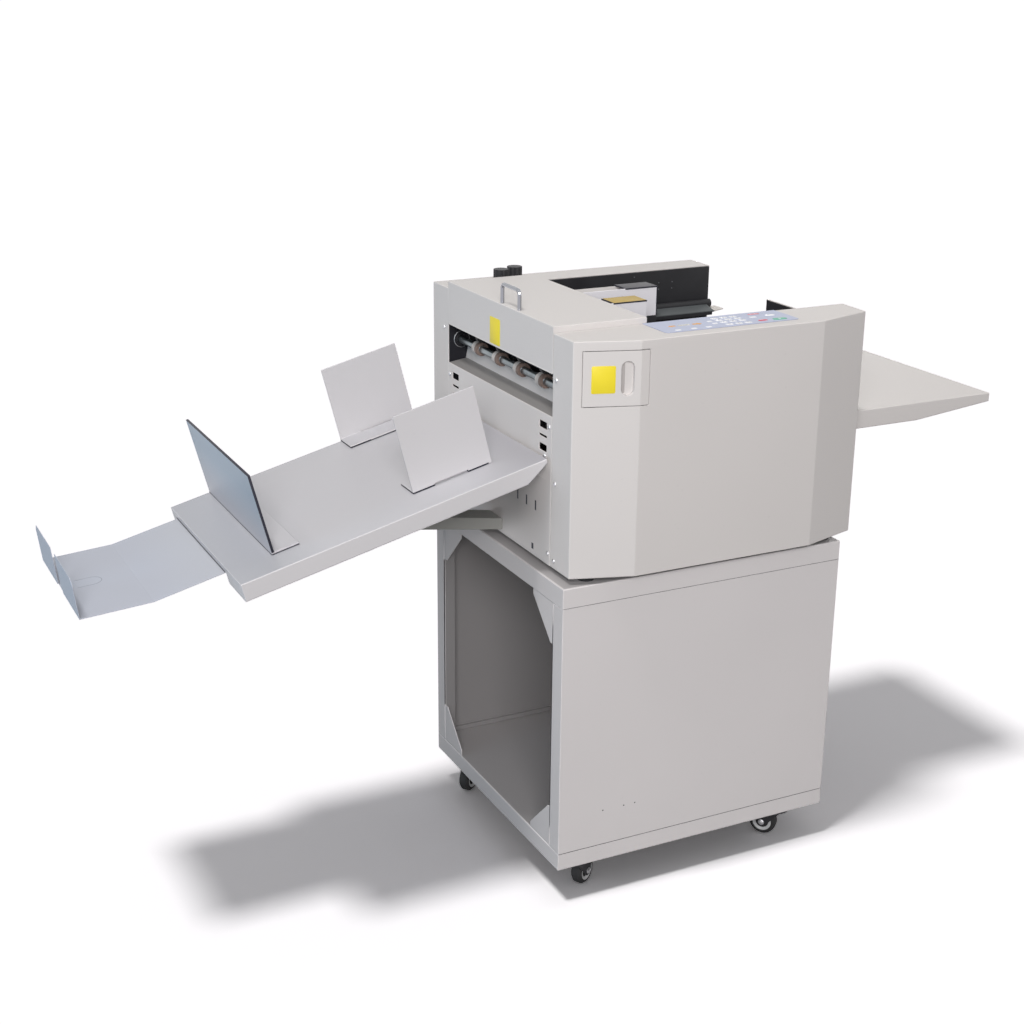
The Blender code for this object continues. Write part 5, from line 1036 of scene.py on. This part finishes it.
def makeTrayDetails():
    past, thin, thick, stop = magnet["past"], magnet["thin"], magnet["thick"], endStop
    piece("endStopEdge", endStopEdge(), "edge", "end_stop")
    cover = (boxOf(extensionCover), extensionFrame)
    piece("extensionCover", [cover], "extension", "tray_extension")
    # a darker rim round the finger slot: painted shade along its edge
    piece("extensionSlot", slotOutline(), "crease", "tray_extension")
    piece("trayLip", [(boxOf(trayLip), trayFrame)], "slate", "machine")
    sheet = magnetSheet(stop["face"] - stop["magnetAhead"], stop["toe"] + past, stop["front"] - past,
                        stop["rear"] + past, thin)
    piece("endStopMagnet", [sheet], "edge", "end_stop")
    piece("guideSlotCover", [(boxOf(slotCover), trayFrame)], "tray_paint", "side_guide_rear")
    guide = sideGuides
    for name, (low, high) in guide["feet"].items():
        sheets = [magnetSheet(start - past, end + past, low - past, high + past, thick) for start, end in
                  ((guide["start"], guide["slotStart"]), (guide["slotEnd"], guide["end"] - guide["blunt"]))]
        if name == "side_guide_front":
            toe = (low + guide["toeStep"], high + past)
        else:
            toe = (low - past, high - guide["toeStep"])
        sheets.append(magnetSheet(guide["slotStart"], guide["slotEnd"], *toe, thin))
        piece(name + "Magnets", sheets, "edge", name)


# Castors

castors = {"front_left": (54, 36, 32), "front_right": (476, 36, 129), "rear_left": (54, 450, 216),
           "rear_right": (486, 458, 250)}                # x, y, heading in degrees
castor = {"axle": (24, 0, 25), "pin": (38.25, 0, 55),    # from the floor below the swivel, its wheel to +X
          "disc": [(12.2, 7.4), (12.2, 8.4), (15.2, 10.22), (17.2, 10.25), (17.4, 10.0), (15.4, 9.8),
                   (13.0, 7.4)],
          "washer": [(0, 12.95), (5.6, 12.95), (5.6, 13.6), (0, 13.6)],
          "discSides": 40, "washerSides": 24, "bolt": (4.4, 3.0, 0.5), "boltOut": 13.4, "pinHead": (3.4, 2.0),
          "pinOut": 13.0}


def makeCastorDetails():
    for where, (x, y, heading) in castors.items():
        stand = Matrix.Translation(at(x, y, 0)) @ Matrix.Rotation(math.radians(heading), 4, "Z")
        discs, bolts = [], []
        for side in (-1, 1):
            outward = Matrix.Rotation(-side * math.pi / 2, 4, "X")
            axle = stand @ moved(*castor["axle"]) @ outward
            discs.append((spun(castor["disc"], castor["discSides"], True), axle))
            bolts.append((spun(castor["washer"], castor["washerSides"]), axle))
            bolts.append((hexHead(*castor["bolt"]), axle @ moved(0, 0, castor["boltOut"])))
            if where.startswith("front"):                # only these have a brake, with its pin
                pin = stand @ moved(*castor["pin"]) @ outward
                bolts.append((screwHead(*castor["pinHead"]), pin @ moved(0, 0, castor["pinOut"])))
        piece("castorDiscs_" + where, discs, "pale", "wheel_" + where)
        piece("castorBolts_" + where, bolts, "screw", "castor_" + where)


# Stand

standHoles = {"places": (85, 126, 148), "up": 162.5, "face": 0.02, "radius": 1.2, "thick": 0.2, "sides": 16}
standSeams = {"heights": (97.0, 546.9), "half": 0.3, "thick": 0.45, "front": -0.12, "rear": 503.67,
              "feedEnd": 545.67, "long": (0.7, 545.3), "short": (0.7, 503.3)}


def makeStandDetails():
    holes, seams = standHoles, standSeams
    (left, right), (front, rear), half = seams["long"], seams["short"], seams["half"]
    strips = [box((left, y, z - half), (right, y + seams["thick"], z + half))
              for y in (seams["front"], seams["rear"]) for z in seams["heights"]]
    strips += [box((seams["feedEnd"], front, z - half), (seams["feedEnd"] + seams["thick"], rear, z + half))
               for z in seams["heights"]]
    piece("standSeams", fromCorner(*strips), "slate", "machine")
    # the stand's holes as dark discs: painted shade
    dots = [(bar(holes["radius"], holes["thick"], holes["sides"]),
             facing(at(x, holes["face"], holes["up"]), (0, -1, 0))) for x in holes["places"]]
    piece("standHoles", dots, "edge", "machine")


# Floor

studioFloor = {"half": 120,                              # in metres
               "bounce": (0.36, 0.36, 0.36), "lit": (1.82, 1.80, 1.86), "lift": (0.045, 0.044, 0.044)}


def floorLook():                                         # white to the camera and mirrors, else grey
    look = Look("floorLook", (0.5, 0.5, 0.5), 1.0, gloss=0.0)
    look.tree.nodes.remove(look.shader)
    direct = look.node("ShaderNodeLightPath", output="Is Camera Ray")
    mirrored = look.node("ShaderNodeLightPath", output="Is Glossy Ray")
    bounce = look.node("ShaderNodeBsdfDiffuse", {}, {"Color": (*studioFloor["bounce"], 1)})
    lit = look.node("ShaderNodeBsdfDiffuse", {}, {"Color": (*studioFloor["lit"], 1)})
    lift = look.node("ShaderNodeEmission", {}, {"Color": (*studioFloor["lift"], 1)})
    shown = look.node("ShaderNodeAddShader", {}, {0: lit, 1: lift})
    seen = look.maths("MAXIMUM", direct, mirrored)
    mixed = look.node("ShaderNodeMixShader", {}, {0: seen, 1: bounce, 2: shown})
    look.feed(look.tree.nodes["Material Output"].inputs["Surface"], mixed)
    return look


def makeFloor():
    bm = bmesh.new()
    bmesh.ops.create_grid(bm, x_segments=1, y_segments=1, size=studioFloor["half"])
    mesh = bpy.data.meshes.new("studioFloor")
    bm.to_mesh(mesh)
    bm.free()
    mesh.materials.append(floorLook().material)
    floor = bpy.data.objects.new("studioFloor", mesh)
    scene.collection.objects.link(floor)
    dark = bpy.data.collections.new("notByBoxes")        # the soft boxes light the object, not the floor
    dark.objects.link(floor)
    dark.collection_objects[0].light_linking.link_state = "EXCLUDE"
    for name, lamp in lamps.items():
        if "place" in lamp:
            scene.objects[name].light_linking.receiver_collection = dark


makeCamera()
makeLamps()
makeSky()
print("camera and lamps placed")
dressFrame()
print("sheets rounded and nodes dressed")
makeScrews()
makeOpenings()
makeControls()
makeStickers()
makeThroat()
makeFeedDetails()
print("machine details made")
makeTrayDetails()
makeCastorDetails()
makeStandDetails()
makeFloor()
print("tray, castors, stand and floor made")
